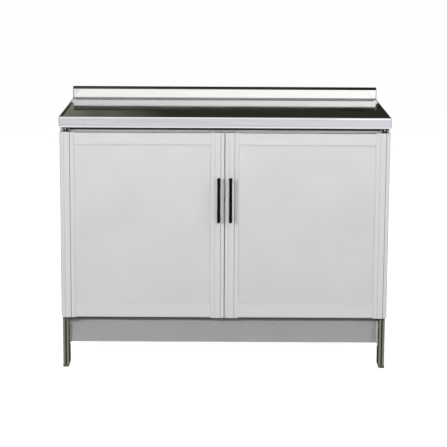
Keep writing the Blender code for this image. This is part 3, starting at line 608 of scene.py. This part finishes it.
# %% Rounded edges and boxes
def soften(bm, edges, radius, segments=3):
    bmesh.ops.bevel(bm, geom=list(edges), offset=radius, offset_type="OFFSET", segments=segments,
                    profile=0.5, affect="EDGES", material=-1, clamp_overlap=True)


def box_piece(name, low, high, radius, body, finish, segments=3):
    """A box between two opposite corners, all its edges rounded, as a piece of its own."""
    lows = Vector([min(pair) for pair in zip(low, high)])
    highs = Vector([max(pair) for pair in zip(low, high)])
    bm = bmesh.new()
    bmesh.ops.create_cube(bm, size=1.0)
    bmesh.ops.scale(bm, vec=highs - lows, verts=bm.verts)
    bmesh.ops.translate(bm, vec=(lows + highs) / 2, verts=bm.verts)
    soften(bm, bm.edges, radius, segments)
    piece(name, bm, body, [finish])


# %% Bars drawn from an outline
PLANES = {
    "yz": lambda a, b, depth: (depth, a, b),
    "xz": lambda a, b, depth: (a, depth, b),
    "xy": lambda a, b, depth: (a, b, depth),
}
CORNER_STEP = 0.6 * MM


def outline_face(corners, plane, depth):
    """A flat face. Each corner is (first, second, radius) on the plane's own axes."""
    bm = bmesh.new()
    verts = [bm.verts.new(PLANES[plane](a, b, depth)) for a, b, radius in corners]
    bm.faces.new(verts)
    for vert, (a, b, radius) in zip(verts, corners):
        if radius:
            steps = max(4, round(radius / CORNER_STEP))
            bmesh.ops.bevel(bm, geom=[vert], offset=radius, offset_type="OFFSET", segments=steps,
                            profile=0.5, affect="VERTICES", material=-1, clamp_overlap=False)
    return bm


def drawn_bar(corners, plane, start, end):
    """A closed bar whose section is the outline."""
    bm = outline_face(corners, plane, start)
    top = bmesh.ops.extrude_face_region(bm, geom=bm.faces[:])["geom"]
    bmesh.ops.translate(bm, vec=PLANES[plane](0, 0, end - start), verts=verts_among(top))
    bmesh.ops.recalc_face_normals(bm, faces=bm.faces)
    return bm


def end_edges(bm, axis, places):
    """The edges that lie in the flat ends of a bar."""
    return [edge for edge in bm.edges
            if any(all(abs(vert.co[axis] - place) < MERGE for vert in edge.verts)
                   for place in places)]


# %% Turned shapes
def turned(profile, place, axis="Z", steps=32):
    """A round shape from (radius, height) pairs, standing at a place along Z, Y or -Y."""
    bm = bmesh.new()
    verts = [bm.verts.new((radius, 0, height)) for radius, height in profile]
    edges = [bm.edges.new(pair) for pair in zip(verts, verts[1:])]
    bmesh.ops.spin(bm, geom=verts + edges, cent=(0, 0, 0), axis=(0, 0, 1), dvec=(0, 0, 0),
                   angle=math.tau, steps=steps, use_merge=True, use_duplicate=False)
    bmesh.ops.remove_doubles(bm, verts=bm.verts, dist=MERGE)
    bmesh.ops.recalc_face_normals(bm, faces=bm.faces)
    quarter = {"Z": 0.0, "-Y": math.pi / 2, "Y": -math.pi / 2}[axis]
    turn = Matrix.Translation(place) @ Matrix.Rotation(quarter, 4, "X")
    bmesh.ops.transform(bm, matrix=turn, verts=bm.verts)
    return bm


# %% Cuts and copies
def cut_away(bm, cutters):
    """One closed shape less others."""
    blank = new_object("blank", bm)
    tools = [new_object("cutter", cutter) for cutter in cutters]
    for tool in tools:
        cut = blank.modifiers.new("cut", "BOOLEAN")
        cut.operation = "DIFFERENCE"
        cut.solver = "EXACT"
        cut.object = tool
    bpy.context.view_layer.update()
    graph = bpy.context.evaluated_depsgraph_get()
    mesh = bpy.data.meshes.new_from_object(blank.evaluated_get(graph))
    result = bmesh.new()
    result.from_mesh(mesh)
    for used in (blank, *tools):
        bpy.data.meshes.remove(used.data)
    bpy.data.meshes.remove(mesh)
    return result


def scattered(template, places):
    """Copies of a small mesh, each with its +Z turned to face a direction."""
    whole = bmesh.new()
    for place, facing in places:
        first = len(whole.verts)
        whole.from_mesh(template)
        whole.verts.ensure_lookup_table()
        turn = Vector(facing).to_track_quat("Z", "Y").to_matrix().to_4x4()
        bmesh.ops.transform(whole, matrix=Matrix.Translation(place) @ turn,
                            verts=whole.verts[first:])
    return whole


# %% [markdown]
# ### The worktop
#
# One sheet is folded over a board: a lip at the front and sides, a thin raised rim that stops water,
# and an upstand along the back. A plane could be folded up too, but cuts in a solid keep each fold's
# radius true. So its outline is drawn out along X, the field between the rims is cut away with soft
# folds, the hollow for the board is cut from below, and last the inner edge of the rim is rounded.
# Along the sides the rim slopes gently down into the field, so that it mirrors the dark flag as the
# field does.

# %% Worktop
top_low, top_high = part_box("worktop")
core_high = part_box("worktop_core")[1]
FIT = 0.3 * MM
SHEET = 1.2 * MM
LIP_RADIUS = 4.0 * MM
END_RADIUS = 3.4 * MM
UPSTAND_RADIUS = 9.0 * MM
UPSTAND_THICKNESS = 20.0 * MM
RIM_WIDTH = 5.0 * MM
RIM_HEIGHT = 2.5 * MM
RIM_FOLD = 1.5 * MM
RIM_CROWN = 0.9 * MM
POCKET_END_SHARE = 0.9
SIDE_SLOPE_RUN = 5.0 * MM
LIP_POLISH = 2.2 * MM
UPSTAND_FOLD = 5.0 * MM
LIP_RETURN = 12.0 * MM
OVERRUN = 4.0 * MM
field_z = core_high.z + FIT + SHEET
rim_z = field_z + RIM_HEIGHT
upstand_y = top_high.y - UPSTAND_THICKNESS
half = top_high.x
pocket_half = half - RIM_WIDTH
rim_y = top_low.y + RIM_WIDTH

blank = drawn_bar([
    (top_low.y, top_low.z, LIP_RADIUS), (top_high.y, top_low.z, LIP_RADIUS),
    (top_high.y, top_high.z, UPSTAND_RADIUS), (upstand_y, top_high.z, UPSTAND_RADIUS),
    (upstand_y, rim_z, UPSTAND_FOLD), (top_low.y, rim_z, LIP_RADIUS)],
    "yz", -half, half)
soften(blank, end_edges(blank, 0, (-half, half)), END_RADIUS, 4)
pocket = drawn_bar([
    (rim_y, field_z, RIM_FOLD), (upstand_y, field_z, UPSTAND_FOLD),
    (upstand_y, rim_z + OVERRUN + UPSTAND_FOLD, 0), (rim_y, rim_z + OVERRUN + UPSTAND_FOLD, 0)],
    "yz", -pocket_half, pocket_half)
soften(pocket, end_edges(pocket, 0, (-pocket_half, pocket_half)), RIM_FOLD * POCKET_END_SHARE, 4)
for vert in pocket.verts:
    run_in = (rim_z - vert.co.z) * SIDE_SLOPE_RUN / RIM_HEIGHT
    vert.co.x *= 1 - run_in / pocket_half
under_z = field_z - SHEET
hollow = drawn_bar([
    (top_low.y + LIP_RETURN, top_low.z - OVERRUN, 0), (top_high.y - SHEET, top_low.z - OVERRUN, 0),
    (top_high.y - SHEET, top_high.z - SHEET, UPSTAND_RADIUS - SHEET),
    (upstand_y + SHEET, top_high.z - SHEET, UPSTAND_RADIUS - SHEET),
    (upstand_y + SHEET, under_z, 0), (top_low.y + SHEET, under_z, 0),
    (top_low.y + SHEET, top_low.z + SHEET, LIP_RADIUS - SHEET),
    (top_low.y + LIP_RETURN, top_low.z + SHEET, 0)], "yz", -half + SHEET, half - SHEET)
worktop = cut_away(blank, [pocket, hollow])
bmesh.ops.remove_doubles(worktop, verts=worktop.verts, dist=MERGE)
print("worktop cut:", len(worktop.faces), "faces")

# %% Rim and finishes of the worktop
def on_inner_rim(edge):
    """An edge between the rim's flat top and the field's pocket."""
    level = all(abs(vert.co.z - rim_z) < MERGE for vert in edge.verts)
    inside = all(abs(vert.co.x) < pocket_half + MERGE and vert.co.y > rim_y - MERGE
                 for vert in edge.verts)
    along_upstand = all(vert.co.y > upstand_y - MERGE for vert in edge.verts)
    return level and inside and not along_upstand


soften(worktop, [edge for edge in worktop.edges if on_inner_rim(edge)], RIM_CROWN, 4)
brushed_top_z = rim_z - LIP_RADIUS - LIP_POLISH
everything = worktop.verts[:] + worktop.edges[:] + worktop.faces[:]
bmesh.ops.bisect_plane(worktop, geom=everything, dist=MERGE / 10,
                       plane_co=(0, 0, brushed_top_z), plane_no=(0, 0, 1))
# The finishes after the polished one, which every face has until it is given another
BRUSHED, PAINTED_FOLD = 1, 2
NEARLY_UPRIGHT, NEARLY_STRAIGHT = 0.01, 0.99
for face in worktop.faces:
    middle = face.calc_center_median()
    upright = abs(face.normal.z) < NEARLY_UPRIGHT
    outward = face.normal.y < -NEARLY_STRAIGHT or abs(face.normal.x) > NEARLY_STRAIGHT
    at_the_edge = middle.y < top_low.y + MERGE or abs(middle.x) > half - MERGE
    on_lip = middle.z < brushed_top_z and at_the_edge
    in_fold = (abs(middle.x) < pocket_half and middle.y > upstand_y - UPSTAND_FOLD
               and field_z + MERGE < middle.z < field_z + UPSTAND_FOLD)
    if upright and outward and on_lip:
        face.material_index = BRUSHED
    # Faces in that fold take the painted reflection
    if in_fold and not upright:
        face.material_index = PAINTED_FOLD
piece("folded_worktop", worktop, CARCASS,
      [polished_steel, brushed_steel, painted_fold_reflection], replaces=["worktop"])

# %% [markdown]
# ### Handles
#
# Each handle is a flat bar with soft edges on two round stems, all in chrome whose near-black colour is
# a painted reflection of a dark room. The stems flare to a small collar where they meet the door, which
# hides the screw hole. A cylinder could be scaled ring by ring, but spinning one profile gives waist,
# flare and collar in a single step.

# %% Handles
BAR_RADIUS = 2.5 * MM
BAR_END_RADIUS = 0.9 * MM
COLLAR_RADIUS = 5.2 * MM
COLLAR_HEIGHT = 1.2 * MM
COLLAR_BACK_EDGE = 0.3 * MM
COLLAR_FRONT_EDGE = 0.4 * MM
STEM_FLARE = 0.6 * MM
STEM_HEAD = 1.0 * MM
STEM_WAIST = 0.9
WAIST_START, WAIST_END = 0.4, 0.6
for hand in SIDES:
    body = DOORS[hand]
    low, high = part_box(f"{hand}_handle_bar")
    bar = drawn_bar([(low.x, low.y, BAR_RADIUS), (high.x, low.y, BAR_RADIUS),
                     (high.x, high.y, BAR_RADIUS), (low.x, high.y, BAR_RADIUS)],
                    "xy", low.z, high.z)
    soften(bar, end_edges(bar, 2, (low.z, high.z)), BAR_END_RADIUS, 4)
    piece(f"{hand}_handle_grip", bar, body, [chrome_painted_dark_reflection],
          replaces=[f"{hand}_handle_bar"])
    for end in ("upper", "lower"):
        node = f"{hand}_handle_{end}_post"
        low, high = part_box(node)
        middle = (low + high) / 2
        radius = (high.x - low.x) / 2
        length = high.y - low.y
        stem = turned([
            (0, 0), (COLLAR_RADIUS - COLLAR_BACK_EDGE, 0), (COLLAR_RADIUS, COLLAR_BACK_EDGE),
            (COLLAR_RADIUS, COLLAR_HEIGHT - COLLAR_FRONT_EDGE),
            (COLLAR_RADIUS - COLLAR_FRONT_EDGE, COLLAR_HEIGHT),
            (radius, COLLAR_HEIGHT + STEM_FLARE), (radius * STEM_WAIST, length * WAIST_START),
            (radius * STEM_WAIST, length * WAIST_END), (radius, length - STEM_HEAD),
            (radius, length), (0, length)], (middle.x, high.y, middle.z), axis="-Y")
        piece(f"{hand}_handle_{end}_stem", stem, body, [chrome_painted_dark_reflection],
              replaces=[node])

# %% [markdown]
# ### Feet, and painted shade on the legs
#
# A moulded cap closes the foot of each leg. Its inner corner is well rounded, so that the leg slides
# over a floor: an outline drawn out rounds that corner alone, which a bevelled box would not. A thin
# black strip on the inner face of each leg is painted shade, so that face shows as a black line beside
# the leg from the front. A dark olive strip at the bottom of the groove down each leg is painted shade
# in the groove, which is the dark line there. Both are pieces of their own, because a colour on the
# leg would have no edge to catch light.

# %% Feet
FOOT_PROUD = 0.6 * MM
FOOT_TOP = 9.0 * MM
FOOT_INNER_RADIUS = 6.0 * MM
FOOT_OUTER_RADIUS = 1.6 * MM
FOOT_EDGE = 0.7 * MM
POSTS = [(hand, side, end) for hand, side in SIDES.items() for end in ("front", "rear")]
for hand, side, end in POSTS:
    low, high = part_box(f"post_{end}_{hand}")
    inner_x, outer_x = sorted((low.x, high.x), key=abs)
    inner_x -= side * FOOT_PROUD
    outer_x += side * FOOT_PROUD
    foot = drawn_bar([(inner_x, 0, FOOT_INNER_RADIUS), (outer_x, 0, FOOT_OUTER_RADIUS),
                      (outer_x, FOOT_TOP, 0), (inner_x, FOOT_TOP, 0)], "xz",
                     low.y - FOOT_PROUD, high.y + FOOT_PROUD)
    soften(foot, [edge for edge in foot.edges if edge.calc_face_angle() > SHARP_ANGLE],
           FOOT_EDGE)
    piece(f"foot_{end}_{hand}", foot, CARCASS, [foot_plastic],
          replaces=[f"foot_cap_{end}_{hand}"])

# %% Leg strips
STRIP_THICKNESS = 0.8 * MM
STRIP_MARGIN = 1.0 * MM
HAIR = 0.02 * MM
bracket_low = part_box("apron_bracket_left")[0]
bottom_rail_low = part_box("front_bottom_rail")[0]
back_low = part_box("back_panel")[0]
foot_z = FOOT_TOP + FIT
for hand, side, end in POSTS:
    low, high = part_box(f"post_{end}_{hand}")
    face_x = min(low.x, high.x, key=abs) - side * HAIR
    front_y, rear_y = low.y + STRIP_MARGIN, high.y - STRIP_MARGIN
    shape = [(front_y, foot_z, 0), (rear_y, foot_z, 0)]
    if end == "front":
        step_y, step_z = bracket_low.y - FIT, bracket_low.z - FIT
        top_z = bottom_rail_low.z - FIT
        shape += [(rear_y, step_z, 0), (step_y, step_z, 0), (step_y, top_z, 0)]
    else:
        top_z = back_low.z - FIT
        shape += [(rear_y, top_z, 0)]
    shape += [(front_y, top_z, 0)]
    # A black strip of painted shade on the leg's inner face
    strip = drawn_bar(shape, "yz", face_x, face_x - side * STRIP_THICKNESS)
    piece(f"leg_shade_strip_{end}_{hand}", strip, CARCASS, [painted_leg_shade_black])

# %% Painted shade in the grooves
GROOVE_WIDTH = 4.5 * MM
GROOVE_DEPTH = 4.0 * MM
GROOVE_SHADE_THICKNESS = 0.6 * MM
for hand, side, end in POSTS:
    low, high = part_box(f"post_{end}_{hand}")
    face_y, inward = (low.y, 1) if end == "front" else (high.y, -1)
    floor_y = face_y + inward * (GROOVE_DEPTH - HAIR)
    middle_x = (low.x + high.x) / 2
    reach = GROOVE_WIDTH / 2 - HAIR
    # A dark olive strip of painted shade at the bottom of the groove
    box_piece(f"groove_shade_strip_{end}_{hand}", (middle_x - reach, floor_y, low.z),
              (middle_x + reach, floor_y - inward * GROOVE_SHADE_THICKNESS, high.z),
              GROOVE_SHADE_THICKNESS / 4, CARCASS, painted_groove_shade)

# %% [markdown]
# ### Door details
#
# A soft grey bead holds each panel in its frame. Four strips could be mitred, but a flat ring, inset
# from the opening's outline and drawn out, turns the corners without a seam. A fine dark line up the
# right of the raised band on each stile is painted shade, the shade of the band's step on the side away
# from the key light, and a fainter grey line up its left is painted shade too. A soft seal along each
# inner stile narrows the slit between the doors, and a thin grey strip up the outer edge of each door
# is painted shade along that edge. Plastic caps close the ends of the inner stiles, and a clear buffer
# behind the foot of each one meets the carcass first, so that the door closes without a knock. The
# buffer is spun from a profile. The lines, seals, strips and caps are slim boxes with rounded edges,
# because little more than their edges shows.

# %% Panel beads
BEAD_WIDTH = 2.0 * MM
BEAD_PROUD = 1.7 * MM
BEAD_EDGE = 0.5 * MM


def door_stile(hand, stile):
    """A stile's corners, and the x of its edges near and far from the middle of the cabinet."""
    low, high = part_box(f"{hand}_door_{stile}_stile")
    return low, high, *sorted((low.x, high.x), key=abs)


for hand in SIDES:
    outer_near_x = door_stile(hand, "outer")[2]
    inner_far_x = door_stile(hand, "inner")[3]
    left_x, right_x = sorted((outer_near_x, inner_far_x))
    left_x, right_x = left_x + HAIR, right_x - HAIR
    foot_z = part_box(f"{hand}_door_bottom_rail")[1].z + HAIR
    top_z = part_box(f"{hand}_door_top_rail")[0].z - HAIR
    back_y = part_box(f"{hand}_door_panel")[0].y - HAIR
    bead = outline_face([(left_x, foot_z, 0), (right_x, foot_z, 0), (right_x, top_z, 0),
                         (left_x, top_z, 0)], "xz", back_y)
    whole_face = bead.faces[:]
    bead.normal_update()
    bmesh.ops.inset_region(bead, faces=whole_face, thickness=BEAD_WIDTH, use_even_offset=True,
                           use_boundary=True)
    bmesh.ops.delete(bead, geom=whole_face, context="FACES")
    raised = bmesh.ops.extrude_face_region(bead, geom=bead.faces[:])["geom"]
    bmesh.ops.translate(bead, vec=(0, -BEAD_PROUD, 0), verts=verts_among(raised))
    bmesh.ops.recalc_face_normals(bead, faces=bead.faces)
    rim = [edge for edge in end_edges(bead, 1, (back_y - BEAD_PROUD,))
           if edge.calc_face_angle() > SHARP_ANGLE]
    soften(bead, rim, BEAD_EDGE)
    piece(f"{hand}_panel_bead", bead, DOORS[hand], [trim_plastic])

# %% Lines along the stiles
BAND_PROUD = 1.5 * MM
BAND_START = 11.0 * MM
BAND_WIDTH = 17.0 * MM
BAND_SHADE_WIDTHS = {"outer": 1.2 * MM, "inner": 0.9 * MM}
FAINT_SHADE_WIDTH = 0.5 * MM
LINE_PROUD = 0.2 * MM
SEAL_THICKNESS = 0.7 * MM
SEAL_MARGIN = 0.8 * MM
EDGE_SHADE_PROUD = 0.9 * MM
for hand, side in SIDES.items():
    body = DOORS[hand]
    for stile, toward in (("outer", -side), ("inner", side)):
        low, high, near_x, far_x = door_stile(hand, stile)
        edge_x = far_x if stile == "outer" else near_x
        band_left_x, band_right_x = sorted(
            (edge_x + toward * BAND_START, edge_x + toward * (BAND_START + BAND_WIDTH)))
        flat_y = low.y + BAND_PROUD
        # A dark line of painted shade up the right of each band, and a fainter one up its left
        for line_name, line_x, width, slot, finish in (
                ("dark_shade_line", band_right_x, BAND_SHADE_WIDTHS[stile], "black_nylon", painted_band_shade),
                ("faint_shade_line", band_left_x - FAINT_SHADE_WIDTH, FAINT_SHADE_WIDTH, "door_panel",
                 painted_faint_shade_grey)):
            box_piece(f"{hand}_{stile}_band_{line_name}",
                      (line_x, flat_y - LINE_PROUD, low.z + FIT),
                      (line_x + width, flat_y - HAIR, high.z - FIT),
                      LINE_PROUD / 4, body, finish, segments=2)

    # A thin grey strip up each door's outer edge, which is painted shade along that edge
    low, high, near_x, far_x = door_stile(hand, "outer")
    box_piece(f"{hand}_door_edge_shade_strip",
              (far_x + side * HAIR, low.y + BAND_PROUD, low.z + SEAL_MARGIN),
              (far_x + side * EDGE_SHADE_PROUD, high.y - 2 * SEAL_MARGIN, high.z - SEAL_MARGIN),
              EDGE_SHADE_PROUD / 4, body, painted_faint_shade_grey)
    low, high, near_x, far_x = door_stile(hand, "inner")
    box_piece(f"{hand}_door_seal",
              (near_x - side * HAIR, low.y + BAND_PROUD + SEAL_MARGIN, low.z + SEAL_MARGIN),
              (near_x - side * SEAL_THICKNESS, high.y - SEAL_MARGIN, high.z - SEAL_MARGIN),
              SEAL_THICKNESS / 3, body, grey_rubber)

# %% Stile caps and buffers
FRAME_WALL = 2.2 * MM
SLOT_DEPTH = 6.0 * MM
CAP_DEPTH = 6.0 * MM
CAP_RECESS = 0.2 * MM
CAP_EDGE = 0.5 * MM
BUFFER_RADIUS = 4.5 * MM
BUFFER_RISE = 1.5 * MM
# Shares of the buffer's radius and height
BUFFER_PROFILE = ((0, 0), (1, 0), (1, 0.55), (0.93, 0.75), (0.75, 0.9), (0.45, 0.98), (0, 1))
panel_low, panel_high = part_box("bottom_panel")
buffer_z = (panel_low.z + panel_high.z) / 2 + BUFFER_RISE
for hand, side in SIDES.items():
    body = DOORS[hand]
    low, high, near_x, far_x = door_stile(hand, "inner")
    near_x += side * (FRAME_WALL + FIT)
    far_x -= side * (SLOT_DEPTH + FRAME_WALL + FIT)
    for end, end_z, inward in (("top", high.z, -1), ("bottom", low.z, 1)):
        face_z = end_z + inward * CAP_RECESS
        box_piece(f"{hand}_stile_cap_{end}",
                  (near_x, low.y + BAND_PROUD + FRAME_WALL + FIT, face_z),
                  (far_x, high.y - FRAME_WALL - FIT, face_z + inward * CAP_DEPTH),
                  CAP_EDGE, body, black_nylon)

    room = bottom_rail_low.y - high.y - 2 * FIT
    dome = turned([(BUFFER_RADIUS * across, room * up) for across, up in BUFFER_PROFILE],
                  ((low.x + high.x) / 2, high.y + HAIR, buffer_z), axis="Y")
    piece(f"{hand}_door_buffer", dome, body, [clear_bumper])

# %% [markdown]
# ### Hinge pins and catches
#
# The door's upper pin has a bright head that shows in the slot of the black block, on a black
# washer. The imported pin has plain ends, so it is spun again with more sides and its edges taken off.
# Inside, each catch holds a magnet between two steel pole plates that stand just proud of its face.
# They could be one box with three colours, but three boxes give each plate edges of its own, as the
# real ones have.

# %% Pins and washers
PIN_RADIUS = 2.5 * MM
PIN_FOOT_EDGE = 0.5 * MM
PIN_HEAD_EDGE = 0.6 * MM
WASHER_HOLE = PIN_RADIUS + HAIR
WASHER_RADIUS = 3.4 * MM
WASHER_HEIGHT = 5.0 * MM
WASHER_EDGE = 0.3 * MM
for hand in SIDES:
    low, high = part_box(f"pivot_pin_top_{hand}")
    middle = (low + high) / 2
    length = high.z - low.z
    pin = turned([
        (0, 0), (PIN_RADIUS - PIN_FOOT_EDGE, 0), (PIN_RADIUS, PIN_FOOT_EDGE),
        (PIN_RADIUS, length - PIN_HEAD_EDGE), (PIN_RADIUS - PIN_HEAD_EDGE, length), (0, length)],
        (middle.x, middle.y, low.z))
    piece(f"hinge_pin_{hand}", pin, CARCASS, [chrome],
          replaces=[f"pivot_pin_top_{hand}"])
    washer = turned([
        (WASHER_HOLE, 0), (WASHER_RADIUS, 0), (WASHER_RADIUS, WASHER_HEIGHT - WASHER_EDGE),
        (WASHER_RADIUS - WASHER_EDGE, WASHER_HEIGHT), (WASHER_HOLE, WASHER_HEIGHT),
        (WASHER_HOLE, 0)], (middle.x, middle.y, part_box(f"pivot_block_{hand}")[0].z))
    piece(f"hinge_washer_{hand}", washer, CARCASS, [black_nylon])

# %% Catch magnets
MAGNET_DEPTH = 2.0 * MM
# Name: width, height, shift upwards, how far it stands proud and edge rounding, all in mm, then
# its slot, its finish and the steps of the rounding
CATCH_PARTS = {
    "magnet": (20.0, 7.0, 0.0, 0.075, 0.3, "black_steel", magnet_dark, 3),
    "pole_upper": (22.0, 1.4, 4.2, 0.15, 0.1, "pin_steel", magnet_steel, 2),
    "pole_lower": (22.0, 1.4, -4.2, 0.15, 0.1, "pin_steel", magnet_steel, 2),
}
for hand in SIDES:
    low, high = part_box(f"magnetic_catch_{hand}")
    middle = (low + high) / 2
    for name, (width, height, shift, proud, edge, slot, finish, steps) in CATCH_PARTS.items():
        reach_x, reach_z = width / 2 * MM, height / 2 * MM
        middle_z = middle.z + shift * MM
        box_piece(f"catch_{name}_{hand}",
                  (middle.x - reach_x, low.y - proud * MM, middle_z - reach_z),
                  (middle.x + reach_x, low.y + MAGNET_DEPTH, middle_z + reach_z),
                  edge * MM, CARCASS, finish, steps)

# %% [markdown]
# ### Trim under the worktop and on the shelf
#
# The slit between the lip and the doors shows the front rail. A black strip on the upper part of that
# rail's face is painted shade under the lip, and a pale cap covers the head of each front post. The
# shelf's front edge has a band of pale plastic, glued on and slightly rounded. All are slim boxes that
# lie a hair off the piece behind, because two faces in one plane would flicker.

# %% Shade strip, post trim and shelf edge
SHADE_STRIP_HEIGHT = 10.0 * MM
SHADE_STRIP_LIFT = 9.0 * MM
SHADE_STRIP_THICKNESS = 0.6 * MM
TRIM_THICKNESS = 0.8 * MM
BAND_THICKNESS = 1.0 * MM
BAND_ROUNDING = 0.4 * MM
rail_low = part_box("front_top_rail")[0]
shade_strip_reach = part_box("pivot_bracket_top_right")[0].x - 2 * FIT
shade_strip_z = rail_low.z + SHADE_STRIP_LIFT
shade_strip_y = rail_low.y - HAIR
# A black strip of painted shade on the rail's face, under the lip
box_piece("worktop_shade_strip", (-shade_strip_reach, shade_strip_y - SHADE_STRIP_THICKNESS, shade_strip_z),
          (shade_strip_reach, shade_strip_y, shade_strip_z + SHADE_STRIP_HEIGHT), SHADE_STRIP_THICKNESS / 3, CARCASS,
          black_nylon)
for hand in SIDES:
    low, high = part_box(f"post_front_{hand}")
    top_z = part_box(f"pivot_bracket_top_{hand}")[0].z - 2 * FIT
    box_piece(f"post_trim_{hand}", (low.x, low.y - HAIR - TRIM_THICKNESS, rail_low.z),
              (high.x, low.y - HAIR, top_z), TRIM_THICKNESS / 3, CARCASS,
              trim_plastic)
low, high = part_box("shelf")
box_piece("shelf_edge_band", (low.x, low.y - BAND_THICKNESS, low.z),
          (high.x, low.y - HAIR, high.z), BAND_ROUNDING, CARCASS,
          edge_plastic)

# %% [markdown]
# ### Screws
#
# A pan-head screw with a cross recess is made once in each size and copied to each fixing. The cross
# could be cut out, but bridging rings one to the next gives fewer and cleaner faces: the seat, the
# dome, the flat top and the cross, which narrows downwards as a driver's tip does.

# %% The screw
# Shares of the head's radius and height, from the seat over the dome to the flat top
HEAD_RINGS = ((1.0, 0.0), (1.0, 0.35), (0.92, 0.7), (0.76, 0.93), (0.6, 1.0))
# The cross at its mouth and at its floor: reach, half width and height as such shares
CROSS_RINGS = ((0.5, 0.13, 1.0), (0.32, 0.08, 0.35))
HEAD_STEPS = 20


def ring(bm, radius, height):
    """A circle of edges at a height."""
    made = bmesh.ops.create_circle(bm, cap_ends=False, segments=HEAD_STEPS, radius=radius)["verts"]
    bmesh.ops.translate(bm, vec=(0, 0, height), verts=made)
    return list({edge for vert in made for edge in vert.link_edges})


def cross(bm, reach, width, height):
    """The twelve-cornered outline of a cross recess."""
    verts = []
    for quarter in range(4):
        turn = Matrix.Rotation(quarter * math.pi / 2, 3, "Z")
        verts += [bm.verts.new(turn @ Vector((x, y, height)))
                  for x, y in ((reach, -width), (reach, width), (width, width))]
    return [bm.edges.new(pair) for pair in zip(verts, verts[1:] + verts[:1])]


def screw_mesh(radius, height):
    """A pan head with a cross recess, which stands on its seat."""
    bm = bmesh.new()
    rings = [ring(bm, radius * share, height * rise) for share, rise in HEAD_RINGS]
    rings += [cross(bm, radius * reach, radius * width, height * rise)
              for reach, width, rise in CROSS_RINGS]
    for outer, inner in zip(rings, rings[1:]):
        bmesh.ops.bridge_loops(bm, edges=outer + inner)
    bmesh.ops.contextual_create(bm, geom=rings[0])
    bmesh.ops.contextual_create(bm, geom=rings[-1])
    bmesh.ops.recalc_face_normals(bm, faces=bm.faces)
    mesh = bpy.data.meshes.new("screw")
    bm.to_mesh(mesh)
    bm.free()
    return mesh


# Each from the radius and the height of its head
small_screw = screw_mesh(3.0 * MM, 1.5 * MM)
large_screw = screw_mesh(4.0 * MM, 1.9 * MM)
frame_bolt = screw_mesh(4.5 * MM, 1.2 * MM)
print("three screw heads")

# %% Screws in their places
FRONT, BACK, DOWN = (0, -1, 0), (0, 1, 0), (0, 0, -1)
FLANGE_DEPTH = 2.7 * MM
FLANGE_SCREW_RISE = 3.2 * MM
FLANGE_SCREW_REACH = 7 * MM
CATCH_SCREW_REACH = 12 * MM
CATCH_SCREW_INSET = 8 * MM
SHELF_RAIL_WALL = 1.8 * MM
SHELF_SCREW_INSET = 30 * MM
BOLT_INSET = 9 * MM


def fasten(name, template, places, body=CARCASS, finish=zinc):
    """One piece made of a screw at each place."""
    piece(name, scattered(template, places), body, [finish])


for hand, side in SIDES.items():
    stile_back = door_stile(hand, "inner")[1].y + HAIR
    fixings = []
    for end in ("upper", "lower"):
        low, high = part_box(f"{hand}_handle_{end}_post")
        fixings.append((((low.x + high.x) / 2, stile_back, (low.z + high.z) / 2), BACK))
    fasten(f"{hand}_handle_screws", large_screw, fixings, DOORS[hand])

    low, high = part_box(f"pivot_bracket_bottom_{hand}")
    middle_x, face_y = (low.x + high.x) / 2, high.y - FLANGE_DEPTH - HAIR
    fasten(f"lower_bracket_screws_{hand}", small_screw,
           [((middle_x + shift, face_y, low.z + FLANGE_SCREW_RISE), FRONT)
            for shift in (-FLANGE_SCREW_REACH, FLANGE_SCREW_REACH)])

    low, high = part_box(f"magnetic_catch_{hand}")
    middle_x, depth = (low.x + high.x) / 2, high.y - CATCH_SCREW_INSET
    fasten(f"catch_screws_{hand}", small_screw,
           [((middle_x + shift, depth, low.z - HAIR), DOWN)
            for shift in (-CATCH_SCREW_REACH, CATCH_SCREW_REACH)])

    low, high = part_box(f"shelf_rail_{hand}")
    middle = (low + high) / 2
    wall_x = max(low.x, high.x, key=abs) - side * (SHELF_RAIL_WALL + HAIR)
    fasten(f"shelf_rail_screws_{hand}", small_screw,
           [((wall_x, y, middle.z), (-side, 0, 0))
            for y in (low.y + SHELF_SCREW_INSET, middle.y, high.y - SHELF_SCREW_INSET)])

    bolts = []
    for end in ("front", "rear"):
        low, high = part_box(f"post_{end}_{hand}")
        outer_x = max(low.x, high.x, key=abs) + side * HAIR
        seat_y = low.y + BOLT_INSET if end == "front" else high.y - BOLT_INSET
        for height in ("top", "bottom"):
            low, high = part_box(f"{end}_{height}_rail")
            bolts.append(((outer_x, seat_y, (low.z + high.z) / 2), (side, 0, 0)))
    fasten(f"post_bolts_{hand}", frame_bolt, bolts, finish=post_bolt_black)

# %% Back panel screws
BACK_SCREWS_ACROSS = 5
BACK_SCREW_INSET = 20 * MM
LOWER_ROW_RISE = 75 * MM
UPPER_ROW_DROP = 16 * MM
low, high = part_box("back_panel")
pitch = (high.x - low.x - 2 * BACK_SCREW_INSET) / (BACK_SCREWS_ACROSS - 1)
fasten("back_panel_screws", small_screw, [
    ((low.x + BACK_SCREW_INSET + pitch * index, high.y + HAIR, z), BACK)
    for z in (low.z + LOWER_ROW_RISE, high.z - UPPER_ROW_DROP)
    for index in range(BACK_SCREWS_ACROSS)])
